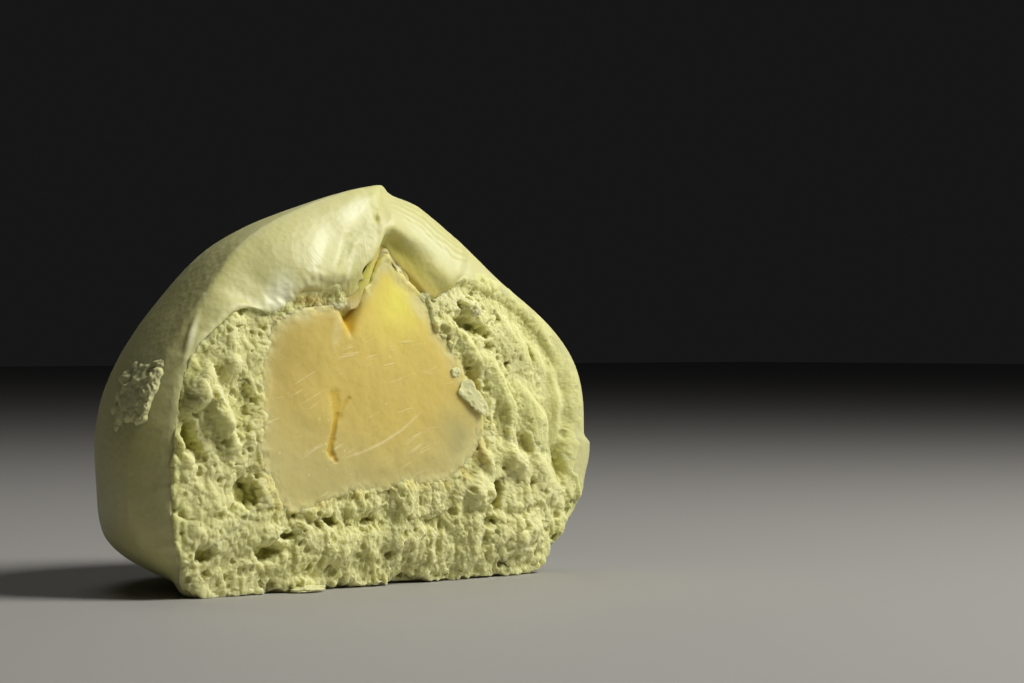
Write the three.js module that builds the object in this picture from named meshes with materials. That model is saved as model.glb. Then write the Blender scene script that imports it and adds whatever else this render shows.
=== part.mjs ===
// Half of a steamed bun torn open by hand, with the sweet bean-coloured paste that fills it.
// Millimetres: X runs along the torn face, -Y points out of it, Z is up from the table.
// Both pieces are closed grids: one parameter turns round the torn face, the other runs over it.
import * as THREE from 'three';

// Driving dimensions
const bunRadius = 37.2; // plan radius at the girth
const girthHeight = 16; // height of the widest ring
const bunHeight = 54.6; // height of the pulled peak
const axisDepth = 4; // the bun's upright axis lies this far behind the torn face
const middleX = -2; // the point of the torn face that everything turns round
const middleZ = 25;
const domeCentreY = 6; // depth of the point that the outer skin is measured from
const fillingDepth = 17; // how far the filling reaches behind the torn face
const fillingEdge = 1.3; // rounding of the filling's front edge
const shellGap = 0.34; // clearance between the filling and the dough round it
const ledgeHeight = 0.75; // spiral ledges in the crumb at the right
const ledgeSpacing = 0.34; // as a share of the crumb's width
const spiralSlope = 0.0086; // how fast the ledges drift outwards, for each degree downwards
const spiralStart = 18.7;
const notchDepth = 2.6; // split in the filling's top edge
const notchX = -6.3;
const notchTopZ = 38.5;
const notchFootZ = 32.5;

// Grid sizes
const columns = 96;
const cavityRows = 7;
const crumbRows = 14;
const rimRows = 5;
const skinRows = 17;
const faceRows = 8;
const edgeRows = 2;
const backRows = 6;

const degree = Math.PI / 180;

// Landmarks (x, z) on the torn face, anticlockwise from the right
const fillingOutline = [
  [16.6, 21.0], [15.2, 25.5], [12.6, 30.0], [9.0, 34.5], [6.6, 38.6], [4.4, 40.7], [1.9, 42.7],
  [-0.1, 44.5], [-2.1, 42.2], [-3.8, 40.0], [-5.6, 37.8], [-9.2, 37.4], [-14.6, 36.8],
  [-18.6, 34.9], [-20.4, 31.5], [-20.6, 25.0], [-20.2, 16.3], [-15.9, 10.7], [-7.9, 12.4],
  [2.1, 13.3], [12.3, 15.0],
];
const skinOutline = [
  [34.4, 16.5], [33.6, 24.0], [30.4, 30.6], [25.5, 35.4], [20.5, 38.2], [16.0, 40.2],
  [13.0, 41.8], [10.0, 44.2], [7.0, 46.2], [4.8, 47.5], [2.3, 48.0], [-0.5, 46.6],
  [-2.2, 44.0], [-4.2, 41.0], [-6.5, 38.6], [-10.0, 39.0], [-14.5, 39.6], [-20.4, 38.0],
  [-25.6, 34.5], [-30.4, 29.4], [-33.6, 23.1], [-35.2, 15.5], [-34.6, 9.0], [-32.6, 4.5],
  [-29.0, 1.2], [-20.0, 0.9], [0.0, 0.8], [21.0, 1.0], [28.9, 3.6], [33.0, 10.0],
];

// Values round the face: pairs of angle in degrees (0 right, 90 up) and millimetres
const mouthGapAt = [[-180, 0.4], [-90, 0.4], [0, 0.4], [40, 0.6], [60, 1.0], [80, 1.4], [95, 0.8],
  [110, 0.5], [118, 0.5], [128, 1.4], [135, 1.0], [142, 0.5]];
const mouthDepthAt = [[-180, 1.2], [-90, 1.0], [0, 0.8], [35, 2.5], [55, 4.5], [75, 5.5],
  [92, 4.5], [105, 3.0], [116, 2.0], [128, 3.5], [138, 2.0], [150, 1.2]];
const skinDepthAt = [[-180, 0.6], [-90, 0.0], [-20, 1.5], [0, 2.0], [30, 2.2], [45, 1.5],
  [70, 0.5], [95, 0.0], [115, 0.5], [130, 0.8], [150, 0.8], [165, 0.6]];
const domeDepthAt = [[-180, 2.6], [-150, 2.4], [-90, 2.0], [-40, 3.4], [-15, 3.0], [0, 3.2],
  [25, 3.6], [45, 5.0], [60, 5.0], [80, 4.4], [92, 3.6], [110, 4.0], [130, 4.2], [150, 3.6],
  [165, 3.0]];
const lipBulgeAt = [[-180, 0.7], [-90, 0.25], [0, 0.5], [30, 0.8], [50, 1.8], [70, 2.6],
  [85, 2.2], [92, 1.4], [100, 2.6], [115, 4.2], [130, 2.8], [145, 1.4], [160, 0.8]];

// Hollows torn in the crumb: x, z, half length, half width, tilt in degrees, depth
const hollows = [
  [-29.2, 20.6, 3.6, 1.9, 80, 2.4], [-20.2, 14.1, 2.6, 1.9, 85, 3.0],
  [-18.3, 6.0, 2.4, 1.8, 0, 2.6], [-28.3, 5.8, 1.7, 1.5, 0, 1.8],
  [17.5, 35.3, 3.2, 1.5, -35, 2.4], [22.1, 11.5, 2.6, 2.2, 90, 2.8],
  [28.0, 17.5, 3.4, 1.7, -70, 1.8], [-10.8, 9.4, 2.0, 1.2, -30, 1.4],
];
// Smooth swellings of the crumb at its left edge: x, z, half length, half width, tilt, height
const swellings = [[-30.2, 26.0, 3.6, 2.0, 75, 1.3], [-26.0, 24.0, 4.6, 2.0, 80, 1.5]];

const smooth = (from, to, value) => THREE.MathUtils.smoothstep((value - from) / (to - from), 0, 1);
const bell = (value, middle, width) => Math.exp(-(((value - middle) / width) ** 2));

// A closed smooth curve of value against angle: cubic pieces between sorted pairs.
function ringCurve(pairs) {
  const keys = [...pairs].sort((a, b) => a[0] - b[0]);
  const count = keys.length;
  const angleOf = (i) => keys[((i % count) + count) % count][0] + 360 * Math.floor(i / count);
  const valueOf = (i) => keys[((i % count) + count) % count][1];
  const rise = (i) => (valueOf(i + 1) - valueOf(i)) / (angleOf(i + 1) - angleOf(i));
  const slopeAt = (i) => (rise(i - 1) * rise(i) <= 0 ? 0 : (rise(i - 1) + rise(i)) / 2);
  return (turn) => {
    let angle = turn / degree;
    angle -= 360 * Math.floor((angle - keys[0][0]) / 360);
    let i = 0;
    while (angleOf(i + 1) < angle) i += 1;
    const width = angleOf(i + 1) - angleOf(i);
    const t = (angle - angleOf(i)) / width;
    const t2 = t * t;
    const t3 = t2 * t;
    return (2 * t3 - 3 * t2 + 1) * valueOf(i) + (t3 - 2 * t2 + t) * width * slopeAt(i)
      + (3 * t2 - 2 * t3) * valueOf(i + 1) + (t3 - t2) * width * slopeAt(i + 1);
  };
}

const polarPairs = (outline) => outline.map(([x, z]) => [
  Math.atan2(z - middleZ, x - middleX) / degree, Math.hypot(x - middleX, z - middleZ)]);

const fillingRadius = ringCurve(polarPairs(fillingOutline));
const skinRadius = ringCurve(polarPairs(skinOutline));
const mouthGap = ringCurve(mouthGapAt);
const mouthDepth = ringCurve(mouthDepthAt);
const skinDepth = ringCurve(skinDepthAt);
const domeDepth = ringCurve(domeDepthAt);
const lipBulge = ringCurve(lipBulgeAt);

// Seeded value noise: a fixed number at each lattice point, blended smoothly, from -1 to 1.
function latticeValue(i, j, seed) {
  let h = Math.imul(i, 374761393) + Math.imul(j, 668265263) + Math.imul(seed, 1274126177);
  h = Math.imul(h ^ (h >>> 13), 1274126177);
  return ((h ^ (h >>> 16)) >>> 0) / 2147483648 - 1;
}

function noise(x, z, seed) {
  const i = Math.floor(x);
  const j = Math.floor(z);
  const u = smooth(0, 1, x - i);
  const v = smooth(0, 1, z - j);
  const low = THREE.MathUtils.lerp(latticeValue(i, j, seed), latticeValue(i + 1, j, seed), u);
  const high = THREE.MathUtils.lerp(latticeValue(i, j + 1, seed), latticeValue(i + 1, j + 1, seed), u);
  return THREE.MathUtils.lerp(low, high, v);
}

// The whole bun before tearing: a squat dome drawn up to a leaning peak, tucked in at the foot.
// The result is negative inside and positive outside.
function outsideBun(x, y, z) {
  const lean = smooth(38, 55, z) ** 1.3;
  const dx = x - 2.6 * lean;
  const dy = y - axisDepth + 2.4 * lean;
  const climb = THREE.MathUtils.clamp((z - girthHeight) / (bunHeight - girthHeight), 0, 1);
  const drop = THREE.MathUtils.clamp((girthHeight - z) / girthHeight, 0, 1.6);
  const behind = smooth(0, 16, y);
  const tuck = (0.4 + 0.17 * behind) * drop ** (2.4 + 1.2 * behind);
  const radius = z > girthHeight ? (1 - climb ** 1.85) ** 0.7 : Math.sqrt(Math.max(0, 1 - tuck));
  const turn = Math.atan2(dy, dx);
  const right = smooth(-0.1, 0.95, Math.cos(turn));
  const left = smooth(0, 0.95, Math.cos(turn - 2.5));
  const side = 1 + right * (0.032 + 0.075 * bell(z, 30, 8.5) - 0.4 * bell(z, 52, 8.5)
    - 0.05 * bell(z, 41.5, 3.5) - 0.04 * smooth(14, 0, z))
    + left * (0.022 * bell(z, 30, 14) + 0.2 * bell(z, 51, 6.5));
  const wobble = 1 + 0.008 * Math.sin(3 * turn + 0.6) + 0.005 * Math.sin(5 * turn - 1.1 + 0.05 * z);
  return Math.max(Math.hypot(dx, dy) - bunRadius * radius * side * wobble, -4 * z);
}

// Distance from (middleX, startY, middleZ) to the outer skin in the direction (turn, pitch).
function reach(turn, pitch, startY) {
  let near = 0;
  let far = 80;
  for (let step = 0; step < 40; step += 1) {
    const half = (near + far) / 2;
    const across = half * Math.cos(pitch);
    const outside = outsideBun(middleX + across * Math.cos(turn), startY + half * Math.sin(pitch),
      middleZ + across * Math.sin(turn)) > 0;
    if (outside) far = half;
    else near = half;
  }
  return near;
}

const faceSweep = (x, z) => 3 * smooth(8, 40, x) + 0.8 * smooth(12, 0, z) * smooth(-30, 10, x);
const facePoint = (turn, radius, y) => new THREE.Vector3(
  middleX + radius * Math.cos(turn), y, Math.max(0, middleZ + radius * Math.sin(turn)));

// A bell over a tilted oval: 1 at its middle, nothing well outside it.
function ovalBell(x, z, [atX, atZ, halfLength, halfWidth, tilt]) {
  const cos = Math.cos(tilt * degree);
  const sin = Math.sin(tilt * degree);
  const along = ((x - atX) * cos + (z - atZ) * sin) / halfLength;
  const across = ((z - atZ) * cos - (x - atX) * sin) / halfWidth;
  return Math.exp(-((along * along + across * across) ** 1.5));
}

// How far the torn crumb stands out of its mean face: lumps at the left, spiral ledges at the
// right that follow the outline, upright tears at the foot, and the hollows.
function crumbRelief(turn, share, x, z) {
  const rightSide = smooth(6, 16, x) * smooth(10, 18, z);
  const leftSide = smooth(-12, -22, x);
  const ledge = (share + spiralSlope * (turn / degree - spiralStart)) / ledgeSpacing;
  const wave = Math.sin(2 * Math.PI * ledge) - 0.35 * Math.cos(4 * Math.PI * ledge);
  let relief = rightSide * ledgeHeight * wave + leftSide * 1.3 * noise(x / 3.4, z / 4.2, 1)
    + (1 - rightSide - 0.6 * leftSide) * 1.1 * noise(x / 2.8, z / 5.5, 2);
  for (const hollow of hollows) relief -= hollow[5] * ovalBell(x, z, hollow);
  for (const swelling of swellings) relief += swelling[5] * ovalBell(x, z, swelling);
  const smoothHollow = smooth(34, 48, turn / degree) * smooth(165, 140, turn / degree);
  return relief * smooth(0, 0.12, share) * smooth(1, 0.86, share) * (1 - smoothHollow);
}

// Torn ring from the mouth round the filling (share 0) to the inner edge of the skin (share 1).
function crumbPoint(turn, share) {
  const inner = fillingRadius(turn) + mouthGap(turn);
  const radius = THREE.MathUtils.lerp(inner, skinRadius(turn), share);
  const point = facePoint(turn, radius, 0);
  const mouth = mouthDepth(turn) * (1 - share) ** 1.3 * (1 - smooth(0, 1, share));
  point.y = mouth + skinDepth(turn) * smooth(0.5, 1, share) + faceSweep(point.x, point.z)
    - crumbRelief(turn, share, point.x, point.z);
  return point;
}

const skinStart = (turn) => {
  const inner = facePoint(turn, skinRadius(turn), 0);
  const sweep = faceSweep(inner.x, inner.z);
  return { innerY: skinDepth(turn) + sweep, domeY: domeDepth(turn) + 0.6 * sweep };
};

// Rolled edge of the skin, from its torn inner edge (share 0) to the dome (share 1). A torn
// corner stands out of it low on the right.
function rimPoint(turn, share) {
  const { innerY, domeY } = skinStart(turn);
  const inner = skinRadius(turn);
  const outer = reach(turn, 0, domeY);
  const sweep = Math.sin((Math.PI / 2) * share) ** 1.1;
  const angle = turn / degree;
  const corner = 1.9 * smooth(-6, -9, angle) * smooth(-26, -10, angle);
  const radius = THREE.MathUtils.lerp(inner, outer, sweep) + corner * Math.sin(Math.PI * share);
  const back = ((1 - Math.cos(Math.PI * share)) / 2) ** 1.3;
  const y = THREE.MathUtils.lerp(innerY, domeY, back)
    - lipBulge(turn) * Math.sin(Math.PI * share) ** 0.8;
  return facePoint(turn, radius, y);
}

// Outer skin from the rim (share 0) to the middle of the back (share 1).
function skinPoint(turn, share) {
  const { domeY } = skinStart(turn);
  const first = Math.atan2(domeY - domeCentreY, reach(turn, 0, domeY));
  const pitch = THREE.MathUtils.lerp(first, Math.PI / 2, share);
  const distance = reach(turn, pitch, domeCentreY);
  return facePoint(turn, distance * Math.cos(pitch), domeCentreY + distance * Math.sin(pitch));
}

// Rounded back of the filling, from its widest ring (share 0) to its rearmost point (share 1),
// moved outwards by a clearance for the cavity that holds it.
function fillingBack(turn, share, clearance) {
  const pitch = (Math.PI / 2) * share;
  const radius = (fillingRadius(turn) + clearance) * Math.cos(pitch) ** 0.75;
  const y = fillingEdge + (fillingDepth + clearance - fillingEdge) * Math.sin(pitch) ** 1.15;
  return facePoint(turn, radius, y);
}

// Wall of the cavity: share 0 at the back pole, 1 just inside the mouth.
function cavityPoint(turn, share) {
  const back = fillingBack(turn, 1 - share, shellGap);
  const widen = smooth(0.45, 1, share);
  const extra = (mouthGap(turn) - shellGap) * widen;
  back.x += extra * Math.cos(turn);
  back.z += extra * Math.sin(turn);
  const mouthY = crumbPoint(turn, 0).y;
  back.y = Math.max(back.y, THREE.MathUtils.lerp(back.y, mouthY + 0.4, widen));
  return back;
}

// Front of the filling from its middle (share 0) to the start of its rounded edge (share 1).
function facePlane(turn, share) {
  const point = facePoint(turn, (fillingRadius(turn) - fillingEdge) * share, 0);
  const height = smooth(notchFootZ, notchTopZ, point.z);
  const notch = notchDepth * height * bell(point.x, notchX, 0.6 + 1.3 * height);
  point.y = -0.25 + 0.25 * share ** 2 - 0.3 * noise(point.x / 9, point.z / 9, 5)
    + faceSweep(point.x, point.z) * 0.5 + notch;
  return point;
}

function edgePoint(turn, share) {
  const bend = (Math.PI / 2) * share;
  const start = facePlane(turn, 1);
  const radius = fillingRadius(turn) - fillingEdge * (1 - Math.sin(bend));
  return facePoint(turn, radius, THREE.MathUtils.lerp(start.y, fillingEdge, 1 - Math.cos(bend)));
}

// Joins the two poles and the rings between them into one closed surface.
function closedSurface(firstPole, rings, lastPole) {
  const points = [firstPole, ...rings.flat(), lastPole];
  const last = points.length - 1;
  const at = (ring, column) => 1 + ring * columns + (column % columns);
  const faces = [];
  for (let column = 0; column < columns; column += 1) {
    faces.push(0, at(0, column), at(0, column + 1));
    for (let ring = 0; ring < rings.length - 1; ring += 1) {
      faces.push(at(ring, column), at(ring + 1, column), at(ring + 1, column + 1));
      faces.push(at(ring, column), at(ring + 1, column + 1), at(ring, column + 1));
    }
    faces.push(last, at(rings.length - 1, column + 1), at(rings.length - 1, column));
  }
  const geometry = new THREE.BufferGeometry().setFromPoints(points);
  geometry.setIndex(faces);
  return geometry;
}

// Rings of one patch: its function at equal or eased shares, without the first where it would
// repeat the ring before.
function ringsOf(pointAt, rows, includeFirst, ease = 1) {
  const rings = [];
  for (let row = includeFirst ? 0 : 1; row <= rows; row += 1) {
    const share = (row / rows) ** ease;
    rings.push(Array.from({ length: columns }, (_, column) => (
      pointAt((column / columns) * 2 * Math.PI, share))));
  }
  return rings;
}

function makeDough() {
  const cavity = ringsOf(cavityPoint, cavityRows, false);
  const crumb = ringsOf(crumbPoint, crumbRows, true);
  const rim = ringsOf(rimPoint, rimRows, false);
  const skin = ringsOf(skinPoint, skinRows, false, 1.1).slice(0, -1);
  const cavityPole = new THREE.Vector3(middleX, fillingDepth + shellGap, middleZ);
  const backPole = new THREE.Vector3(middleX, domeCentreY + reach(0, Math.PI / 2, domeCentreY), middleZ);
  return closedSurface(cavityPole, [...cavity, ...crumb, ...rim, ...skin], backPole);
}

function makeFilling() {
  const face = ringsOf(facePlane, faceRows, false);
  const edge = ringsOf(edgePoint, edgeRows, false);
  const back = ringsOf((turn, share) => fillingBack(turn, share, 0), backRows, false).slice(0, -1);
  const facePole = facePlane(0, 0);
  const backPole = new THREE.Vector3(middleX, fillingDepth, middleZ);
  return closedSurface(facePole, [...face, ...edge, ...back], backPole);
}

const doughMaterial = new THREE.MeshStandardMaterial({ color: 0xdcdca6, roughness: 0.6, metalness: 0 });
const fillingMaterial = new THREE.MeshStandardMaterial({ color: 0xd6bb68, roughness: 0.42, metalness: 0 });

const dough = new THREE.Mesh(makeDough(), doughMaterial);
dough.name = 'dough';
const filling = new THREE.Mesh(makeFilling(), fillingMaterial);
filling.name = 'filling';

// The origin moves to the middle of the base.
const box = new THREE.Box3().setFromObject(dough).union(new THREE.Box3().setFromObject(filling));
const base = new THREE.Vector3((box.min.x + box.max.x) / 2, (box.min.y + box.max.y) / 2, box.min.z);
for (const piece of [dough, filling]) piece.geometry.translate(-base.x, -base.y, -base.z);

const bun = new THREE.Group();
bun.add(dough, filling);

export default bun;
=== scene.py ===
import bpy
import itertools
import math
import numpy as np
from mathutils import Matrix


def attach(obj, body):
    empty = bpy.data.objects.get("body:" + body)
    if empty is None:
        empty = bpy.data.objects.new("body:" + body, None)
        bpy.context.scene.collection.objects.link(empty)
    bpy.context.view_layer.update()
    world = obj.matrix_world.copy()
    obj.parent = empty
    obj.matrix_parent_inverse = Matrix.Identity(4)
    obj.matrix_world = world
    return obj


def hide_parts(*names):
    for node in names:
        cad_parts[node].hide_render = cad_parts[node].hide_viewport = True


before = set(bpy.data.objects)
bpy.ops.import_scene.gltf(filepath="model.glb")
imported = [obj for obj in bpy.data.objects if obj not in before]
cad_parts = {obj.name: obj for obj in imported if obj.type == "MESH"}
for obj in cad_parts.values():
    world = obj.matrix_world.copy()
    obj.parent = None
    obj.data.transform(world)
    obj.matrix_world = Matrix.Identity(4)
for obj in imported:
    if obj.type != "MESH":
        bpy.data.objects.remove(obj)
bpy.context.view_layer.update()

# The form is worked out in millimetres with the bun's axis near x = 0 and the torn face near y = 0.
mm = 0.001
baseMiddle = np.array([0.732, 19.376, 0.0])  # that form's point which the frame has as its origin

view = {"lens": 100.0, "sensor": 36.0, "azimuth": 36.0, "distance": 400.0, "eyeHeight": 33.0,
        "aim": (6.0, 18.0), "aimColumn": 345.0, "imageWidth": 1024.0}
# the camera's place, and its turn, which brings the aim point to its own column of the picture
azimuth = math.radians(view["azimuth"])
eye = np.array([view["aim"][0] - view["distance"] * math.sin(azimuth),
                view["aim"][1] - view["distance"] * math.cos(azimuth), view["eyeHeight"]])
focal = view["lens"] / view["sensor"] * view["imageWidth"]
eyeTurn = azimuth + math.atan((view["imageWidth"] / 2 - view["aimColumn"]) / focal)

bun = {
    "radius": 37.2,  # plan radius at the girth
    "girthHeight": 16.0,
    "height": 54.6,
    "axisDepth": 4.0,  # upright axis behind the torn face
    "peakLean": (2.6, -2.4),  # how far the peak leans in x and y
    # how much fuller each side is: height, half width, share of the radius
    "fullness": {"right": [(30, 8.5, 0.075), (53, 9.5, -0.24), (41.5, 3.5, -0.05), (16, 6, 0.016)],
        "left": [(30, 14, 0.022), (50.5, 7, 0.23)], "leftBack": [(44, 8, 0.022), (15, 11, -0.026)]},
    "middle": (-2.0, 25.0),  # point of the torn face that everything turns round
    "domeCentreY": 6.0,
    "cornerOut": 1.9,  # how far the skin juts out at the right corner
    "footTufts": 0.6,  # how ragged the torn lower edge is
    "footTuck": 2.2,  # how far the torn foot curls back under itself
    # gaps under the torn foot: x, half width, height
    "footGaps": [(-5.0, 2.2, 1.0), (6.0, 3.6, 0.8), (17.5, 2.0, 0.5), (-17.5, 1.2, 0.4)],
}

# Outlines on the torn face as (x, z), anticlockwise from the right
outlines = {
    "filling": [(16.6, 21.0), (15.2, 25.5), (12.6, 30.0), (9.0, 34.5), (6.6, 38.6), (4.4, 40.7), (1.9, 42.7),
        (-0.1, 44.5), (-1.9, 42.4), (-3.0, 40.6), (-3.9, 40.1), (-5.6, 38.3), (-9.2, 37.9), (-14.6, 37.3),
        (-18.6, 35.2), (-20.4, 31.5), (-20.6, 25.0), (-20.2, 16.3), (-15.9, 10.7), (-7.9, 12.4), (2.1, 13.3),
        (12.3, 15.0)],
    "skin": [(34.0, 16.5), (34.5, 24.0), (31.2, 31.2), (26.2, 36.0), (20.9, 38.7), (17.4, 39.9), (14.6, 40.4),
        (12.4, 40.6), (10.2, 39.9), (8.2, 39.1), (6.7, 39.6), (4.9, 41.3), (2.7, 43.3), (1.2, 44.9),
        (0.0, 45.8), (-1.0, 45.6), (-2.2, 43.8), (-4.2, 41.0), (-6.4, 39.0), (-9.4, 38.7), (-12.4, 38.4),
        (-15.0, 37.9), (-17.2, 36.8), (-19.4, 36.5), (-21.8, 37.1), (-26.5, 35.1), (-31.2, 30.0),
        (-32.7, 23.1), (-33.5, 15.5), (-33.2, 9.0), (-32.2, 4.5), (-30.0, 0.7), (-20.0, 0.2), (0.0, 0.2),
        (21.0, 0.2), (29.8, 0.4), (34.8, 4.5), (37.9, 10.8)],
}

# Depths and clearances round the face: angle in degrees (0 right, 90 up) to millimetres
rings = {
    "mouthDepth": {-180: -0.25, -90: -0.25, 0: -0.25, 35: -0.1, 48: 0.1, 58: 0.3, 66: 0.6, 76: 1.2, 88: 1.3,
        94: 0.6, 100: 0.1, 122: 0.0, 136: 0.1, 150: -0.1},
    "skinDepth": {-180: 0.5, -140: 0.6, -90: 0.8, -40: 1.0, -20: 2.4, -8: 1.8, 0: 1.4, 30: 1.6, 42: 0.9,
        50: 0.3, 58: 0.0, 66: 0.3, 76: 1.1, 84: 1.2, 87: 0.9, 90: 0.4, 93: 0.0, 98: -0.3, 115: -0.3, 128: 0.0,
        140: 0.0, 150: 0.2, 165: 0.4},
    "domeDepth": {-180: 5.0, -165: 6.5, -150: 6.5, -130: 5.8, -90: 6.2, -50: 6.0, -30: 5.0, -15: 4.2, 0: 3.2,
        25: 3.6, 45: 5.0, 60: 5.4, 80: 4.8, 92: 3.8, 110: 4.4, 130: 4.4, 150: 3.8, 165: 4.4},
    "lipBulge": {-180: 0.45, -130: 0.15, -90: 0.0, -40: 0.1, 0: 0.3, 30: 0.6, 42: 0.8, 50: 0.8, 58: 0.8,
        66: 1.0, 76: 1.7, 84: 2.1, 88: 1.9, 92: 1.6, 100: 1.6, 115: 2.0, 126: 1.7, 134: 1.1, 145: 0.7,
        160: 0.5},
    # where the roll starts to rise and where it crests, in millimetres out from the skin's inner edge
    "riseStart": {-180: 0.0, 48: 0.0, 60: 0.0, 66: 0.5, 72: 1.2, 78: 1.3, 84: 0.8, 88: 0.4, 92: 0.0,
        150: 0.0},
    "riseEnd": {-180: 1.0, 35: 1.6, 46: 1.9, 50: 2.8, 54: 4.2, 60: 5.3, 66: 5.2, 72: 4.7, 78: 3.5, 84: 2.7,
        89: 2.6, 94: 2.6, 104: 3.2, 116: 3.6, 126: 3.2, 134: 2.6, 145: 1.6, 160: 1.0},
    # share of the rim that the torn crumb spreads over
    "cover": {-180: 0.12, -150: 0.12, -140: 0.0, -44: 0.0, -37: 0.8, -28: 0.9, -22: 0.7, -17: 0.4, -11: 0.35,
        -4: 0.8, 4: 0.9, 34: 0.9, 44: 0.4, 54: 0.0, 108: 0.0, 114: 0.13, 134: 0.13, 144: 0.1, 165: 0.12},
}


# Smooth step: 0 below low, 1 above high, with an S-shaped rise between them.
def smooth(low, high, value):
    t = np.clip((value - low) / (high - low), 0.0, 1.0)
    return t * t * (3.0 - 2.0 * t)


# Window: 0 up to start, 1 from full to fade, and 0 again from end on.
def window(value, start, full, fade, end):
    return smooth(start, full, value) * smooth(end, fade, value)


# Bell: 1 at the middle, falling as the exponential of minus the squared distance.
def bell(value, middle, width):
    return np.exp(-((value - middle) / width) ** 2)


def mixed(a, b, share):
    return a + (b - a) * share


# A turn brought to between minus and plus half a turn.
def wrapped(turn):
    return np.mod(turn + math.pi, 2 * math.pi) - math.pi


# Closed curve of a value against angle: cubic pieces through the given pairs, level at their extremes.
def ringCurve(pairs):
    keys = sorted(pairs)
    angles = np.radians(np.array([k - 360 for k in keys] + keys + [k + 360 for k in keys]))
    values = np.tile([float(pairs[k]) for k in keys], 3)
    rises = np.diff(values) / np.diff(angles)
    slopes = np.zeros_like(values)
    slopes[1:-1] = np.where(rises[:-1] * rises[1:] <= 0, 0.0, (rises[:-1] + rises[1:]) / 2)

    def valueAt(turn):
        turn = wrapped(turn)
        i = np.clip(np.searchsorted(angles, turn) - 1, 0, len(angles) - 2)
        width = angles[i + 1] - angles[i]
        t = (turn - angles[i]) / width
        return ((2 * t**3 - 3 * t**2 + 1) * values[i] + (t**3 - 2 * t**2 + t) * width * slopes[i]
                + (3 * t**2 - 2 * t**3) * values[i + 1] + (t**3 - t**2) * width * slopes[i + 1])
    return valueAt


# Points of an outline as distances from a middle, by their angle in degrees.
def polarPairs(outline, middle):
    return {math.degrees(math.atan2(z - middle[1], x - middle[0])): math.hypot(x - middle[0], z - middle[1])
            for x, z in outline}


fillingRadius = ringCurve(polarPairs(outlines["filling"], bun["middle"]))
skinRadiusPlain = ringCurve(polarPairs(outlines["skin"], bun["middle"]))
mouthDepth, skinDepth, domeDepth, lipBulge, riseStart, riseEnd, cover = map(ringCurve, rings.values())


# One fixed random whole number for each lattice point and seed, mixed from its coordinates.
def latticeNumber(cell, step, seed):
    i, j, k = [(cell[..., axis] + step[axis]).astype(np.uint32) for axis in range(3)]
    h = (i * np.uint32(374761393) + j * np.uint32(668265263) + k * np.uint32(2246822519)
         + np.uint32(seed * 1274126177 % 4294967296))
    h = (h ^ (h >> np.uint32(13))) * np.uint32(1274126177)
    h = (h ^ (h >> np.uint32(15))) * np.uint32(2654435761)
    return h ^ (h >> np.uint32(16))


# Ten bits of such a number as a value from 0 to 1.
def bitsOf(number, shift):
    return ((number >> np.uint32(shift)) & np.uint32(1023)) / 1023.0


# Value noise from -1 to 1: lattice numbers blended with an S-shaped rise along each axis.
def noise(points, seed):
    cell = np.floor(points).astype(np.int64)
    t = points - cell
    t = t * t * (3 - 2 * t)
    total = 0.0
    for step in itertools.product((0, 1), repeat=3):
        weight = (np.abs(1 - step[0] - t[..., 0]) * np.abs(1 - step[1] - t[..., 1])
                  * np.abs(1 - step[2] - t[..., 2]))
        total = total + weight * bitsOf(latticeNumber(cell, step, seed), 4)
    return 2 * total - 1


# Three such noises side by side, as a push along each axis.
def noisePush(points, seed):
    return np.stack([noise(points, seed + axis) for axis in range(3)], -1)


# Unevenness made of several noises: height, size and seed of each.
def uneven(points, *layers):
    return sum(height * noise(points / size, seed) for height, size, seed in layers)


# Layered noise: each layer has half the height and about half the size of the one before.
def layeredNoise(points, seed, layers=3):
    total, height = 0.0, 1.0
    for layer in range(layers):
        total = total + height * noise(points * 2.03 ** layer + 7.3 * layer, seed + layer)
        height *= 0.5
    return total


# Scattered points, one in each unit cell: for each of the 27 cells round a place, the squared distance
# to its point and a number of its own.
def pointsAround(points, seed):
    cell = np.floor(points).astype(np.int64)
    inside = points - cell
    for step in itertools.product((-1, 0, 1), repeat=3):
        h = latticeNumber(cell, step, seed)
        away = ((step[0] + bitsOf(h, 0) - inside[..., 0]) ** 2 + (step[1] + bitsOf(h, 10) - inside[..., 1]) ** 2
                + (step[2] + bitsOf(h, 20) - inside[..., 2]) ** 2)
        yield away, bitsOf(h * np.uint32(2654435761), 8)


# The whole bun before tearing: a squat dome drawn up to a leaning peak, tucked in at the foot.
# Negative inside, positive outside: plan distance from the axis less the radius at that height.
def outsideBun(x, y, z):
    lean = smooth(38, 55, z) ** 1.3
    dx, dy = x - bun["peakLean"][0] * lean, y - bun["axisDepth"] - bun["peakLean"][1] * lean
    climb = np.clip((z - bun["girthHeight"]) / (bun["height"] - bun["girthHeight"]), 0, 1)
    drop = np.clip((bun["girthHeight"] - z) / bun["girthHeight"], 0, 1.6)
    behind = smooth(0, 16, y)
    tuck = (0.4 + 0.17 * behind) * drop ** (2.4 + 1.2 * behind)
    radius = np.where(z > bun["girthHeight"], (1 - climb ** 1.85) ** 0.7, np.sqrt(np.maximum(0, 1 - tuck)))
    turn = np.arctan2(dy, dx)
    right, left, leftBack = [sum(share * bell(z, height, width) for height, width, share in table)
                             for table in bun["fullness"].values()]
    side = (1 + smooth(-0.1, 0.95, np.cos(turn)) * (0.032 + right - 0.04 * smooth(9, 0, z))
            + smooth(0, 0.95, np.cos(turn - 2.5)) * left
            + smooth(0.6, 1.0, np.cos(turn - 2.45)) * (leftBack - 0.075 * smooth(8, 0, z) ** 1.4))
    wobble = 1 + 0.008 * np.sin(3 * turn + 0.6) + 0.005 * np.sin(5 * turn - 1.1 + 0.05 * z)
    return np.maximum(np.hypot(dx, dy) - bun["radius"] * radius * side * wobble, -4 * z)


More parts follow.
